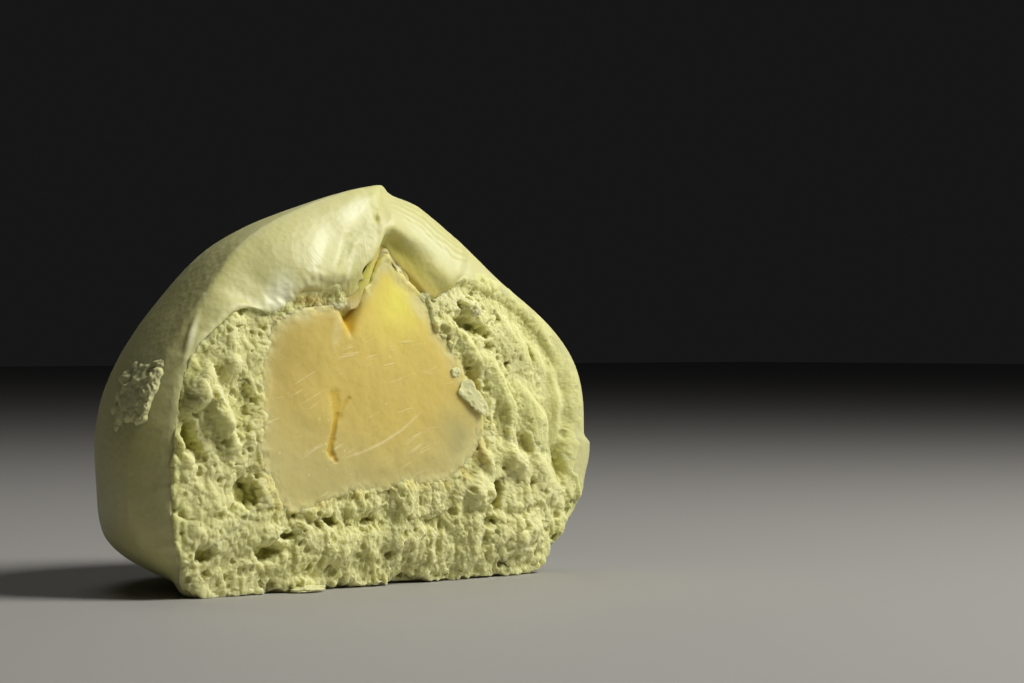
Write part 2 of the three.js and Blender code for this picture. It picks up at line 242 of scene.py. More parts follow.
# Distance from the middle, at depth startY, to the outer skin in a direction, found by halving.
def reach(turn, pitch, startY):
    near = np.zeros(np.broadcast(turn, pitch, startY).shape)
    far = near + 80.0
    for _ in range(34):
        half = (near + far) / 2
        across = half * np.cos(pitch)
        outside = outsideBun(bun["middle"][0] + across * np.cos(turn), startY + half * np.sin(pitch),
                             bun["middle"][1] + across * np.sin(turn)) > 0
        far, near = np.where(outside, half, far), np.where(outside, near, half)
    return near


# The torn face curves back towards its right side, and a little at the foot.
def faceSweep(x, z):
    return 3 * smooth(8, 40, x) + 0.8 * smooth(12, 0, z) * smooth(-30, 10, x) + 1.1 * smooth(7, 0, z)


def facePoint(turn, radius, y):
    x = bun["middle"][0] + radius * np.cos(turn)
    z = bun["middle"][1] + radius * np.sin(turn)
    return np.stack(np.broadcast_arrays(x, y, np.maximum(z, 0.0)), -1)


# How far a turn lies along the torn foot that meets the table: 1 there, 0 elsewhere.
def footShare(turn):
    return window(np.degrees(wrapped(turn)), -150, -136, -40, -24)


# Inner edge of the skin, a little uneven.
def skinRadius(turn):
    plain = skinRadiusPlain(turn)
    x, z = bun["middle"][0] + plain * np.cos(turn), bun["middle"][1] + plain * np.sin(turn)
    place = np.stack([x, 0 * x, z], -1)
    angle = np.degrees(wrapped(turn))
    rough = smooth(42, 30, angle) + smooth(148, 156, angle)
    return plain + (1 - footShare(turn)) * rough * (uneven(place, (0.22, 2.2, 43), (0.14, 0.9, 44)))


# Edge of the torn face: the skin's edge, but in ragged upright tufts where the foot meets the table.
def tornRadius(turn):
    plain = skinRadius(turn)
    x = bun["middle"][0] + plain * np.cos(turn)
    place = np.stack([x, 0 * x, 0 * x], -1)
    tufts = 0.5 + uneven(place, (0.6, 1.7, 41), (0.45, 0.7, 42), (0.2, 0.3, 45))
    tufts = bun["footTufts"] * np.clip(tufts, 0, 2)
    for middleX, halfWidth, height in bun["footGaps"]:
        tufts = tufts + height * np.exp(-np.abs((x - middleX) / halfWidth) ** 3)
    return plain - footShare(turn) * np.clip(tufts, 0, 2.2)


# Where points show from the camera's place: millimetres across and up, at the distance of the bun.
def seenAt(grid):
    x, y = grid[..., 0] - eye[0], grid[..., 1] - eye[1]
    scale = view["distance"] / (x * math.sin(eyeTurn) + y * math.cos(eyeTurn))
    across = (x * math.cos(eyeTurn) - y * math.sin(eyeTurn)) * scale
    return across, eye[2] + (grid[..., 2] - eye[2]) * scale


# A bell over a tilted oval: 1 at its middle and nothing well outside it.
def ovalBell(x, z, oval, power=1.5):
    atX, atZ, halfLength, halfWidth, tilt = oval[:5]
    cos, sin = math.cos(math.radians(tilt)), math.sin(math.radians(tilt))
    along = ((x - atX) * cos + (z - atZ) * sin) / halfLength
    across = ((z - atZ) * cos - (x - atX) * sin) / halfWidth
    return np.exp(-(along**2 + across**2) ** power)


# The strongest of some ovals at each place, each a bell times its strength.
def spots(x, z, ovals, power=1.0):
    return np.maximum.reduce([oval[5] * ovalBell(x, z, oval, power) for oval in ovals])


# Distance from each point of the face to a line of points, the share of the way along it, and its side
# (positive on the left of its direction).
def alongLine(x, z, line):
    nearest, share, side = np.full(x.shape, 99.0), np.zeros(x.shape), np.zeros(x.shape)
    lengths = [math.hypot(bx - ax, bz - az) for (ax, az), (bx, bz) in zip(line[:-1], line[1:])]
    walked = 0.0
    for (ax, az), (bx, bz), length in zip(line[:-1], line[1:], lengths):
        t = np.clip(((x - ax) * (bx - ax) + (z - az) * (bz - az)) / length**2, 0, 1)
        away = np.hypot(x - ax - t * (bx - ax), z - az - t * (bz - az))
        nearer = away < nearest
        share = np.where(nearer, (walked + t * length) / sum(lengths), share)
        side = np.where(nearer, np.sign((bx - ax) * (z - az) - (bz - az) * (x - ax)), side)
        nearest = np.where(nearer, away, nearest)
        walked += length
    return nearest, share, side


# Unit normals of a grid of points: the cross product of its two directions.
def gridNormals(grid, wrap=False):
    around = np.concatenate([grid[:, -1:], grid, grid[:, :1]], 1) if wrap else grid
    normal = np.cross(np.gradient(around, axis=0), np.gradient(around, axis=1))
    normal = normal[:, 1:-1] if wrap else normal
    return normal / np.maximum(np.linalg.norm(normal, axis=-1, keepdims=True), 1e-9)


# Mean of each grid value and its neighbours within a reach, along both directions.
def blurred(field, cells, wrap=False):
    for axis in (0, 1):
        pad = [(0, 0)] * field.ndim
        pad[axis] = (cells, cells)
        padded = np.pad(field, pad, mode="wrap" if wrap and axis == 1 else "edge")
        total = np.cumsum(padded, axis=axis)
        total = np.concatenate([np.zeros_like(np.take(total, [0], axis=axis)), total], axis=axis)
        size = 2 * cells + 1
        high = np.take(total, np.arange(size, total.shape[axis]), axis=axis)
        low = np.take(total, np.arange(0, total.shape[axis] - size), axis=axis)
        field = (high - low) / size
    return field


# A surface pushed by a height along its normals: these may be blurred over some cells first, and leant
# towards the open front.
def pushed(grid, height, cells=0, lean=0.0, wrap=True):
    direction = gridNormals(blurred(grid, cells, wrap) if cells else grid, wrap) + np.array([0.0, -lean, 0.0])
    direction = direction / np.maximum(np.linalg.norm(direction, axis=-1, keepdims=True), 1e-9)
    return grid + direction * height[..., None]


# A mesh object from a grid of points (rows, columns) in form millimetres and point attributes by name,
# with optional end points that close the first and last rows.
def gridObject(name, grid, attributes, wrap=False, firstPole=None, lastPole=None):
    rows, columns = grid.shape[:2]
    points = grid.reshape(-1, 3)
    number = np.arange(rows * columns).reshape(rows, columns)
    ahead = np.roll(number, -1, axis=1) if wrap else number[:, 1:]
    here = number if wrap else number[:, :-1]
    quads = np.stack([here[:-1], here[1:], ahead[1:], ahead[:-1]], -1).reshape(-1, 4)
    loops = [quads.ravel()]
    sizes = [np.full(len(quads), 4)]
    extra = []
    for pole, row, turned in ((firstPole, 0, False), (lastPole, rows - 1, True)):
        if pole is not None:
            tip = rows * columns + len(extra)
            extra.append(pole)
            pair = (ahead[row], here[row]) if turned else (here[row], ahead[row])
            fan = np.stack([np.full(len(pair[0]), tip), *pair], -1)
            loops.append(fan.ravel())
            sizes.append(np.full(len(fan), 3))
    if extra:
        points = np.concatenate([points, np.array(extra)])
    loops, sizes = np.concatenate(loops), np.concatenate(sizes)
    mesh = bpy.data.meshes.new(name)
    mesh.vertices.add(len(points))
    mesh.vertices.foreach_set("co", ((points - baseMiddle) * mm).astype(np.float32).ravel())
    mesh.loops.add(len(loops))
    mesh.loops.foreach_set("vertex_index", loops.astype(np.int32))
    mesh.polygons.add(len(sizes))
    mesh.polygons.foreach_set("loop_start", np.concatenate([[0], np.cumsum(sizes)[:-1]]).astype(np.int32))
    mesh.polygons.foreach_set("use_smooth", np.ones(len(sizes), dtype=bool))
    mesh.update(calc_edges=True)
    for attributeName, values in attributes.items():
        flat = np.concatenate([values.ravel(), np.full(len(extra), values.ravel()[-1])])
        layer = mesh.attributes.new(attributeName, "FLOAT", "POINT")
        layer.data.foreach_set("value", flat.astype(np.float32))
    obj = bpy.data.objects.new(name, mesh)
    bpy.context.scene.collection.objects.link(obj)
    print("made", name, len(points), "points,", int(sum(sizes - 2)), "triangles")
    return obj


class Wire:
    # A shader socket that takes part in sums, so that a pattern reads as one expression.
    def __init__(self, shader, socket):
        self.shader, self.socket = shader, socket

    def __add__(self, other): return self.shader.maths("ADD", self, other)
    def __radd__(self, other): return self.shader.maths("ADD", other, self)
    def __sub__(self, other): return self.shader.maths("SUBTRACT", self, other)
    def __rsub__(self, other): return self.shader.maths("SUBTRACT", other, self)
    def __mul__(self, other): return self.shader.maths("MULTIPLY", self, other)
    def __rmul__(self, other): return self.shader.maths("MULTIPLY", other, self)


class Shader:
    def __init__(self, name, colours=None):
        self.colours = {tint: screenColour(*levels) for tint, levels in (colours or {}).items()}
        self.material = bpy.data.materials.new(name)
        self.material.use_nodes = True
        self.tree = self.material.node_tree
        self.surface = next(n for n in self.tree.nodes if n.type == "BSDF_PRINCIPLED")
        self.place = self.node("ShaderNodeTexCoord", output="Object")

    # Any node: its settings first, then the values or links of its sockets; the result is one output.
    def node(self, kind, settings=None, inputs=None, output=0):
        made = self.tree.nodes.new(kind)
        for key, value in (settings or {}).items():
            setattr(made, key, value)
        for key, value in (inputs or {}).items():
            self.put(made.inputs[key], value)
        return Wire(self, made.outputs[output])

    def put(self, socket, value):
        if isinstance(value, Wire):
            self.tree.links.new(value.socket, socket)
        else:
            socket.default_value = value

    def maths(self, operation, a, b=0.0, clamp=False):
        return self.node("ShaderNodeMath", {"operation": operation, "use_clamp": clamp}, {0: a, 1: b})

    def clamped(self, a):
        return self.maths("ADD", a, 0.0, clamp=True)

    def blend(self, share, a, b):
        return self.node("ShaderNodeMix", {"data_type": "RGBA", "clamp_factor": True},
                         {0: share, 6: a, 7: b}, output=2)

    # Colours, by name or as wires, laid over the first one: each shows where its share is 1.
    def layered(self, first, *layers):
        colour = self.colours.get(first, first)
        for share, tint in layers:
            colour = self.blend(share, colour, self.colours.get(tint, tint))
        return colour

    def noise(self, scale, detail=3.0, roughness=0.5, place=None):
        return self.node("ShaderNodeTexNoise", None, {"Vector": place or self.place, "Scale": scale,
                                                      "Detail": detail, "Roughness": roughness})

    def cells(self, scale):
        return self.node("ShaderNodeTexVoronoi", None, {"Vector": self.place, "Scale": scale},
                         output="Distance")

    def step(self, low, high, value):
        return self.node("ShaderNodeMapRange", {"interpolation_type": "SMOOTHSTEP"},
                         {"Value": value, "From Min": low, "From Max": high})

    # Place turned by the angles and then drawn out by the scale along its own axes.
    def turned(self, scale, rotation=(0, 0, 0)):
        return self.node("ShaderNodeMapping", {"vector_type": "TEXTURE"},
                         {"Vector": self.place, "Scale": scale, "Rotation": rotation})

    def attributes(self, *names):
        return [self.node("ShaderNodeAttribute", {"attribute_name": name}, output="Fac") for name in names]

    def bump(self, height, distance, strength=1.0, under=None):
        sockets = {"Height": height, "Distance": distance, "Strength": strength}
        if under is not None:
            sockets["Normal"] = under
        return self.node("ShaderNodeBump", None, sockets)

    # Puts the values into the surface. Where plainShare is 1 the same surface shows without scattering:
    # a sheet that ends under another one has nothing behind its end for the light to scatter in.
    def finish(self, plainShare=None, **sockets):
        inputs = {key.replace("_", " "): value for key, value in sockets.items()}
        for key, value in inputs.items():
            self.put(self.surface.inputs[key], value)
        if plainShare is not None:
            plain = self.node("ShaderNodeBsdfPrincipled", None, {
                key: value for key, value in inputs.items() if not key.startswith("Subsurface")})
            both = self.node("ShaderNodeMixShader", None,
                             {0: plainShare, 1: Wire(self, self.surface.outputs[0]), 2: plain})
            output = next(n for n in self.tree.nodes if n.type == "OUTPUT_MATERIAL")
            self.put(output.inputs["Surface"], both)
        return self.material


# A colour given as 0 to 255 screen values, as the linear values that the renderer works in.
def screenColour(red, green, blue):
    return tuple(((c / 255) / 12.92 if c / 255 <= 0.04045 else ((c / 255 + 0.055) / 1.055) ** 2.4)
                 for c in (red, green, blue)) + (1.0,)


crumbLook = {
    "columns": 2800, "rows": 172, "firstAngle": 54,
    # first and last angle of each piece; the last one lies under the lips
    "pieces": {"crumbLeft": (147, 215), "crumbFootLeft": (215, 281), "crumbFootRight": (281, 347),
               "crumbRight": (347, 414), "lipHollow": (54, 101), "lipCrumb": (101, 147)},
    "coverRows": 0.14,  # share of the rows that may spread over the skin's rim
    "ledgeHeight": 0.42, "ledgeSlant": -56, "lumpHeight": 0.65, "footHeight": 0.7,
    "valleyDepth": 0.9, "valleyZ": 9.2,  # a shallow valley along the foot
    # x, z, half length, half width, tilt in degrees, depth
    "hollows": [(-31.3, 20.6, 2.4, 1.0, -75, 2.4), (-22.7, 13.7, 2.2, 1.6, 90, 2.7),
        (-18.6, 5.6, 2.0, 1.1, 0, 2.4), (-16.1, 7.6, 1.3, 0.4, 0, 1.8), (-29.0, 5.6, 1.3, 0.9, 0, 1.7),
        (-23.6, 24.5, 4.0, 1.5, 90, 1.0), (14.5, 35.2, 3.4, 0.85, -18, 2.0), (18.6, 35.8, 0.6, 0.3, 0, 1.2),
        (20.8, 36.0, 0.6, 0.35, 15, 1.2), (19.6, 36.9, 0.35, 0.3, 0, 0.9), (18.0, 32.4, 1.0, 0.65, -10, 1.0),
        (21.8, 29.6, 0.45, 0.4, 0, 1.0), (12.8, 38.0, 0.7, 0.35, 60, 1.3), (14.3, 38.8, 0.5, 0.35, 0, 1.1),
        (17.4, 37.5, 0.35, 0.3, 0, 0.9), (27.2, 31.0, 1.3, 0.5, -70, 0.9), (19.6, 11.7, 1.7, 1.0, 85, 4.0),
        (25.3, 18.6, 1.6, 0.8, -60, 1.1), (26.9, 12.8, 1.2, 0.7, 80, 1.4), (18.8, 8.0, 1.2, 0.5, 0, 1.2),
        (33.9, 15.0, 2.6, 1.1, -80, 1.2), (-9.5, 9.4, 1.2, 0.7, -20, 2.4), (-2.9, 8.9, 1.0, 0.45, 0, 1.2),
        (-3.6, 12.3, 0.5, 0.45, 0, 1.4), (14.4, 28.0, 3.4, 1.2, -62, 1.3), (20.5, 21.5, 3.0, 1.2, -70, 1.1)],
    "swellings": [(-30.5, 26.2, 2.2, 1.3, 80, 2.5), (-27.2, 24.0, 3.3, 1.3, -70, 2.1),
        (-28.7, 28.8, 1.2, 1.1, 0, 1.0), (-25.5, 29.9, 1.5, 1.2, 20, 1.2), (-25.0, 20.3, 1.2, 1.1, 0, 0.9),
        (-32.6, 20.5, 1.3, 0.8, 80, 1.0), (-31.7, 18.4, 1.7, 0.8, -60, 1.0), (23.4, 16.3, 2.3, 1.5, -40, 1.7),
        (16.0, 12.2, 2.4, 1.8, -20, 1.2), (17.2, 16.8, 2.2, 0.9, -60, 1.2), (13.6, 38.2, 1.0, 0.8, 0, 1.0),
        (-13.0, 1.2, 2.8, 0.8, 0, 1.0)],
    # warm spots by the paste and whitish crumb by the lobes, as seen from the camera: across, up, half
    # sizes, tilt, strength
    "warmSpots": [(-28.2, 38.7, 2.4, 1.1, -10, 0.8), (-33.0, 35.9, 0.8, 0.5, -10, 0.8)],
    "paleCrumb": [(-8.0, 39.3, 3.6, 1.6, -35, 0.6), (-24.6, 38.0, 3.0, 0.7, 8, 1.0)],
    # crest lines as (x, z), walked downwards: height of each, width of its near and of its far slope
    "crests": [([(10.7, 35.7), (12.5, 33.9), (14.3, 31.8), (15.9, 29.8), (17.0, 28.6)], 1.2, 1.0, 0.9),
        ([(15.6, 31.0), (17.6, 30.3), (18.8, 29.2), (19.8, 28.0), (20.6, 26.5), (21.2, 25.4), (22.4, 23.9),
        (23.2, 21.6)], 1.7, 2.0, 1.1), ([(22.0, 27.4), (23.6, 26.4), (24.9, 25.6), (26.2, 24.3), (27.4, 23.3),
        (28.8, 22.0), (29.6, 20.5), (30.2, 18.8), (30.2, 17.0)], 2.1, 2.8, 1.2), ([(30.9, 29.6), (31.9, 28.2),
        (32.5, 25.6), (32.8, 23.3), (33.0, 21.1), (33.4, 18.6)], 1.3, 1.2, 1.2), ([(22.9, 35.2), (23.9, 34.3),
        (24.9, 32.9), (25.6, 31.2), (25.9, 29.0)], 1.3, 1.5, 1.1), ([(27.2, 32.6), (28.6, 31.0), (30.0, 29.0),
        (30.9, 27.6)], 0.8, 0.9, 0.9), ([(25.4, 25.7), (28.0, 24.9), (30.4, 24.6)], 0.6, 0.45, 0.5)],
    # deep and pale: painted shade in the crevices and painted light on the tips, blended by cavityShade
    "colours": {"deep": (172, 167, 92), "pale": (225, 223, 163), "mottle": (210, 212, 132),
                "ridge": (214, 216, 134), "nearPaste": (204, 182, 92), "warm": (214, 184, 106),
                # hollowUnderLipShade: painted shade under the overhanging lip
                "whitish": (240, 238, 194), "hollowInner": (214, 208, 118), "hollowUnderLipShade": (194, 190, 98)},
}


# Share of each kind of crumb: lumpy at the left, ledged at the right, upright tears at the foot, and
# none where the smooth hollow lies under the lips.
def crumbZones(angle, x, z):
    right = smooth(6, 16, x) * smooth(9, 17, z)
    left = smooth(-13, -23, x)
    return left, right, (1 - right) * (1 - left), window(angle, 66, 74, 108, 114)


# How far the torn crumb spreads over the skin's rim at a turn: 0 not at all, 1 fully.
def coveredAt(turn):
    return smooth(0, 0.12, cover(turn))


# The share of a ring's rows that lie over the rim, how far each row is from the filling to the skin's
# edge, and how far it is from there to where the cover ends.
def ringShares(turn, share):
    part = crumbLook["coverRows"] * coveredAt(turn)
    beyond = np.clip((share - 1 + part) / np.maximum(part, 1e-4), 0, 1)
    return part, np.clip(share / (1 - part), 0, 1), beyond


# Torn ring before its relief: from under the filling's edge (share 0) to the skin's edge, and from there
# on over the rim (share 1). It comes up from behind the paste, follows the depth of the mouth and then
# that of the skin's edge; at the foot its last part curls back under the tufts.
def tornRing(turn, share):
    turn = turn[:1]
    foot = footShare(turn)
    part, inside, beyond = ringShares(turn, share)
    under = window(np.degrees(wrapped(turn)), 52, 60, 108, 114)
    curl = foot * smooth(0.999 - 0.08 * foot, 1, inside)
    tuck = (1 - foot) * (1 - smooth(0, 0.1, cover(turn))) * smooth(0.965, 1, inside)
    inner = fillingRadius(turn) - 2.2 + 1.3 * under
    over = np.clip(inside / (1 - 0.08 * foot), 0, 1)
    radius = mixed(mixed(inner, tornRadius(turn), over), skinRadius(turn), curl) + 0.7 * tuck
    grid = facePoint(turn, radius, 0.0)
    behind = 1.1 * (1 - under) * smooth(0.0, -1.7, radius - fillingRadius(turn))
    grid[..., 1] = (mouthDepth(turn) * (1 - inside) ** 1.5 + behind
                    + skinDepth(turn) * smooth(0.6 - 0.6 * under, 1, inside)
                    + faceSweep(grid[..., 0], grid[..., 2]) + bun["footTuck"] * curl + 0.5 * tuck)
    return np.where((share > 1 - part)[..., None], rolledRim(turn, cover(turn) * beyond), grid)


# Puffed lumps: one rounded rise round each scattered point. The highest one shows at each place, and
# the change from one to the next is rounded off; a larger crease number makes it crisper.
def lumps(points, size, seed, warp=0.3, crease=7.0, width=0.87):
    scaled = points / np.array(size)
    scaled = scaled + warp * noisePush(scaled * 0.9, seed + 11)
    total = np.ones(points.shape[:-1])
    for away, number in pointsAround(scaled, seed):
        total += np.exp(crease * (0.7 + 0.5 * number - away / width**2))
    return np.log(total) / crease


# Burst bubbles: round pits with a crisp rim, each about the nearest point, in some of the cells.
def pores(points, size, seed, share):
    nearest, number = np.full(points.shape[:-1], 9.0), np.zeros(points.shape[:-1])
    for away, own in pointsAround(points / size, seed):
        number = np.where(away < nearest, own, number)
        nearest = np.minimum(nearest, away)
    radius = np.where(number < share, 0.25 + 0.3 * number / share, 0.0)
    return np.sqrt(np.maximum(0, radius**2 - nearest)) * size


# A torn tongue of crumb: it climbs slowly up to its rounded crest, drops behind it into a shallow
# valley, and fades at both ends.
def tongueHeight(x, z, line, height, near, far):
    away, share, side = alongLine(x, z, line)
    front = np.exp(-(away / near) ** 1.8)
    behind = 1.4 * np.exp(-(away / far) ** 2) - 0.4 * np.exp(-(away / (2.4 * far)) ** 2)
    return height * np.where(side < 0, front, behind) * np.sin(math.pi * np.clip(share, 0.02, 0.98)) ** 0.4


# The placed relief, in millimetres forwards: tongues, hollows and swellings set one by one over the
# gentle unevenness of each kind of crumb. It also gives the crests, and where the swellings are.
def placedRelief(grid, left, right, foot):
    look, x, z = crumbLook, grid[..., 0], grid[..., 2]
    wavyX, wavyZ = x + 0.3 * noise(grid / 1.6, 23), z + 0.3 * noise(grid / 1.6, 24)
    crest, valley, swollen = np.zeros(x.shape), np.zeros(x.shape), np.zeros(x.shape)
    for line, height, near, far in look["crests"]:
        tongue = tongueHeight(wavyX, wavyZ, line, height, near, far)
        crest, valley = np.maximum(crest, tongue), np.minimum(valley, tongue)
    relief = 0.55 * crest + 0.75 * valley + right * look["ledgeHeight"] * noise(grid / (2.4, 2.4, 3.0), 21)
    relief += left * look["lumpHeight"] * layeredNoise(grid / (3.6, 3.6, 4.4), 1, 2)
    relief += foot * look["footHeight"] * layeredNoise(grid / (2.6, 3.0, 6.0), 2, 2)
    along = bell(z, look["valleyZ"] + 1.5 * noise(grid / 3.6, 25), 0.9)
    relief -= foot * look["valleyDepth"] * along * (0.7 + 0.6 * noise(grid / 4.0, 26))
    raggedX = wavyX + uneven(grid, (0.35, 1.1, 27), (0.18, 0.5, 29))
    raggedZ = wavyZ + uneven(grid, (0.35, 1.1, 28), (0.18, 0.5, 30))
    for hollow in look["hollows"]:
        relief -= hollow[5] * ovalBell(raggedX, raggedZ, hollow, 1.6)
    for swelling in look["swellings"]:
        rise = ovalBell(wavyX, wavyZ, swelling)
        relief += swelling[5] * rise
        swollen = np.maximum(swollen, rise)
    return relief, crest, swollen


# The torn crumb, one ring cut into six pieces: the placed relief goes forwards, and then clumps, grains,
# pores and fuzz of falling size are each pushed out along the surface that they sit on.
def makeCrumb():
    look = crumbLook
    angles = np.linspace(look["firstAngle"], look["firstAngle"] + 360, look["columns"], endpoint=False)
    turn, share = np.meshgrid(np.radians(angles), np.linspace(0, 1, look["rows"]))
    grid = tornRing(turn, share)
    x, start, z = [grid[..., axis].copy() for axis in range(3)]
    angle, covered = np.degrees(wrapped(turn)), coveredAt(turn)
    left, right, foot, smoothHollow = crumbZones(angle, x, z)
    inside, beyond = ringShares(turn, share)[1:]
    beyond = beyond * covered
    rough = (1 - smoothHollow) * smooth(0.0, 0.05, share)
    rough = rough * mixed(smooth(0.985, 0.96, inside), 1 - 0.85 * smooth(0.2, 1, beyond), covered)
    edgeOff = mixed(1 - (1 - foot) * (1 - smooth(0.98, 0.86, inside)), smooth(1.0, 0.2, beyond), covered)
    form = rough * edgeOff
    relief, crest, swollen = placedRelief(grid, left, right, foot)
    grid[..., 1] -= relief * form

    # the ledges' lumps lie along their slant; crests, swellings and the outer ledge stay calmer
    slant = math.radians(look["ledgeSlant"])
    turned = np.stack([x * math.cos(slant) + z * math.sin(slant), grid[..., 1],
                       z * math.cos(slant) - x * math.sin(slant)], -1)
    outer = smooth(26, 31, x) * smooth(8, 14, z)
    calm = (1 - 0.45 * np.clip(np.maximum(crest * right, swollen * left), 0, 1)) * (1 - 0.6 * outer)
    big = (left * 0.34 * lumps(grid, (2.4, 2.4, 2.9), 3, warp=0.5, crease=4.0)
           + right * 0.22 * lumps(turned, (3.0, 1.7, 1.4), 4)
           + foot * 0.5 * lumps(grid, (1.4, 1.7, 3.2), 5, warp=0.8, crease=4.5, width=0.75))
    grid = pushed(grid, (big - 0.3) * calm * form, 7, 0.5)
    clumps = lumps(grid, (1.05, 1.05, 1.25), 6, warp=0.8, crease=5.0, width=0.72) - 0.35
    clumps = (0.25 + 0.07 * left) * clumps + 0.11 * layeredNoise(grid / 1.3, 61, 2)
    grid = pushed(grid, clumps * calm * rough, 5, 0.4)
    grains = (0.10 - 0.05 * left) * (lumps(grid, (0.5, 0.5, 0.55), 10, warp=0.9, width=0.7) - 0.4)
    grains = grains - 0.08 * np.abs(noise(grid / 0.45, 64))
    grid = pushed(grid, grains * (0.5 + 0.5 * calm) * rough, 2, 0.3)
    bent = grid + 0.3 * noisePush(grid / 0.8, 41)
    holes = (0.75 * pores(bent, 1.5, 7, 0.24) + 0.5 * pores(bent, 0.75, 8, 0.3)
             + 0.7 * (1 - right) * pores(bent, 2.1, 9, 0.22))
    underLip = window(angle, 106, 110, 144, 150)  # a plain strip without pores
    grid = pushed(grid, -holes * rough * calm * (1 - underLip), 4, 0.6)
    fuzz = uneven(grid, (0.03, 0.27, 62), (0.012, 0.18, 63))
    fuzz = fuzz * (1 - 0.7 * left) * (1 - 0.2 * np.clip(crest, 0, 1)) * (1 - 0.35 * outer)
    sink = covered * (0.32 * smooth(0.5, 1.0, beyond + 0.25 * noise(grid / 1.2, 65)) - 0.1
                      + 0.5 * smooth(0.88, 1.0, beyond))
    grid = pushed(grid, fuzz * rough - sink, 1, 0.2)
    grid[..., 2] = np.maximum(grid[..., 2], 0.05)

    # painted shade and light: what sinks below its surroundings is painted darker as shade in the crevices, and
    # what stands above them paler as light on the tips; the rest is coloured by place
    standing = start - grid[..., 1]
    cavityShade = 0.5 + 0.22 * (2 * standing - blurred(standing, 6, True) - blurred(standing, 26, True))
    across, up = seenAt(grid)
    warm = smoothHollow * (window(angle, 60, 68, 84, 92) + 0.8 * smooth(96, 104, angle))
    warm = warm + sum(spots(across, up, [spot]) for spot in look["warmSpots"])
    crest = np.maximum(crest, 0.9 * covered * smooth(0.8, 1.0, inside))
    fields = {"cavityShade": np.clip(cavityShade, 0, 1), "smoothHollow": smoothHollow, "share": inside,
              "warm": np.clip(warm, 0, 1), "crest": np.clip(crest, 0, 1),
              "pale": spots(across, up, look["paleCrumb"]), "sheetEnd": covered * smooth(0.92, 0.98, share)}
    for name, (low, high) in look["pieces"].items():
        chosen = np.where((angles >= low - 0.001) & (angles <= high + 0.15))[0]
        if name == "crumbRight":
            chosen = np.append(chosen, 0)  # it closes the ring
        yield gridObject(name, grid[:, chosen], {key: field[:, chosen] for key, field in fields.items()})


def crumbMaterial(name, softness, glow):
    shader = Shader(name, crumbLook["colours"])
    cavityShade, hollow, share, crest, warm, pale = shader.attributes(
        "cavityShade", "smoothHollow", "share", "crest", "warm", "pale")
    nearPaste = (1 - shader.step(0.02, 0.26, share)) * shader.step(0.35, 0.6, shader.noise(420, 2))
    # the smooth hollow under the right lip: painted shade, darker towards the lip that overhangs it
    inHollow = shader.layered("hollowInner", (shader.step(0.3, 0.95, share), "hollowUnderLipShade"))
    # painted shade and light: deep in the crevices and pale on what stands out, by cavityShade
    colour = shader.layered("deep", (shader.step(0.10, 0.62, cavityShade), "pale"),
                            (shader.step(0.35, 0.8, shader.noise(240, 4)) * 0.35, "mottle"),
                            (crest * 0.35, "ridge"), (nearPaste * 0.6, "nearPaste"), (hollow, inHollow),
                            (warm * 0.8, "warm"), (pale * 0.6, "whitish"))
    return shader.finish(*shader.attributes("sheetEnd"), Base_Color=colour, Roughness=0.85,
                         Specular_IOR_Level=0.25, Normal=shader.bump(shader.noise(3600, 3, 0.6), 0.00008, 0.6),
                         Subsurface_Weight=glow, Subsurface_Radius=(1.0, 0.94, 0.75),
                         Subsurface_Scale=softness, IOR=1.38)


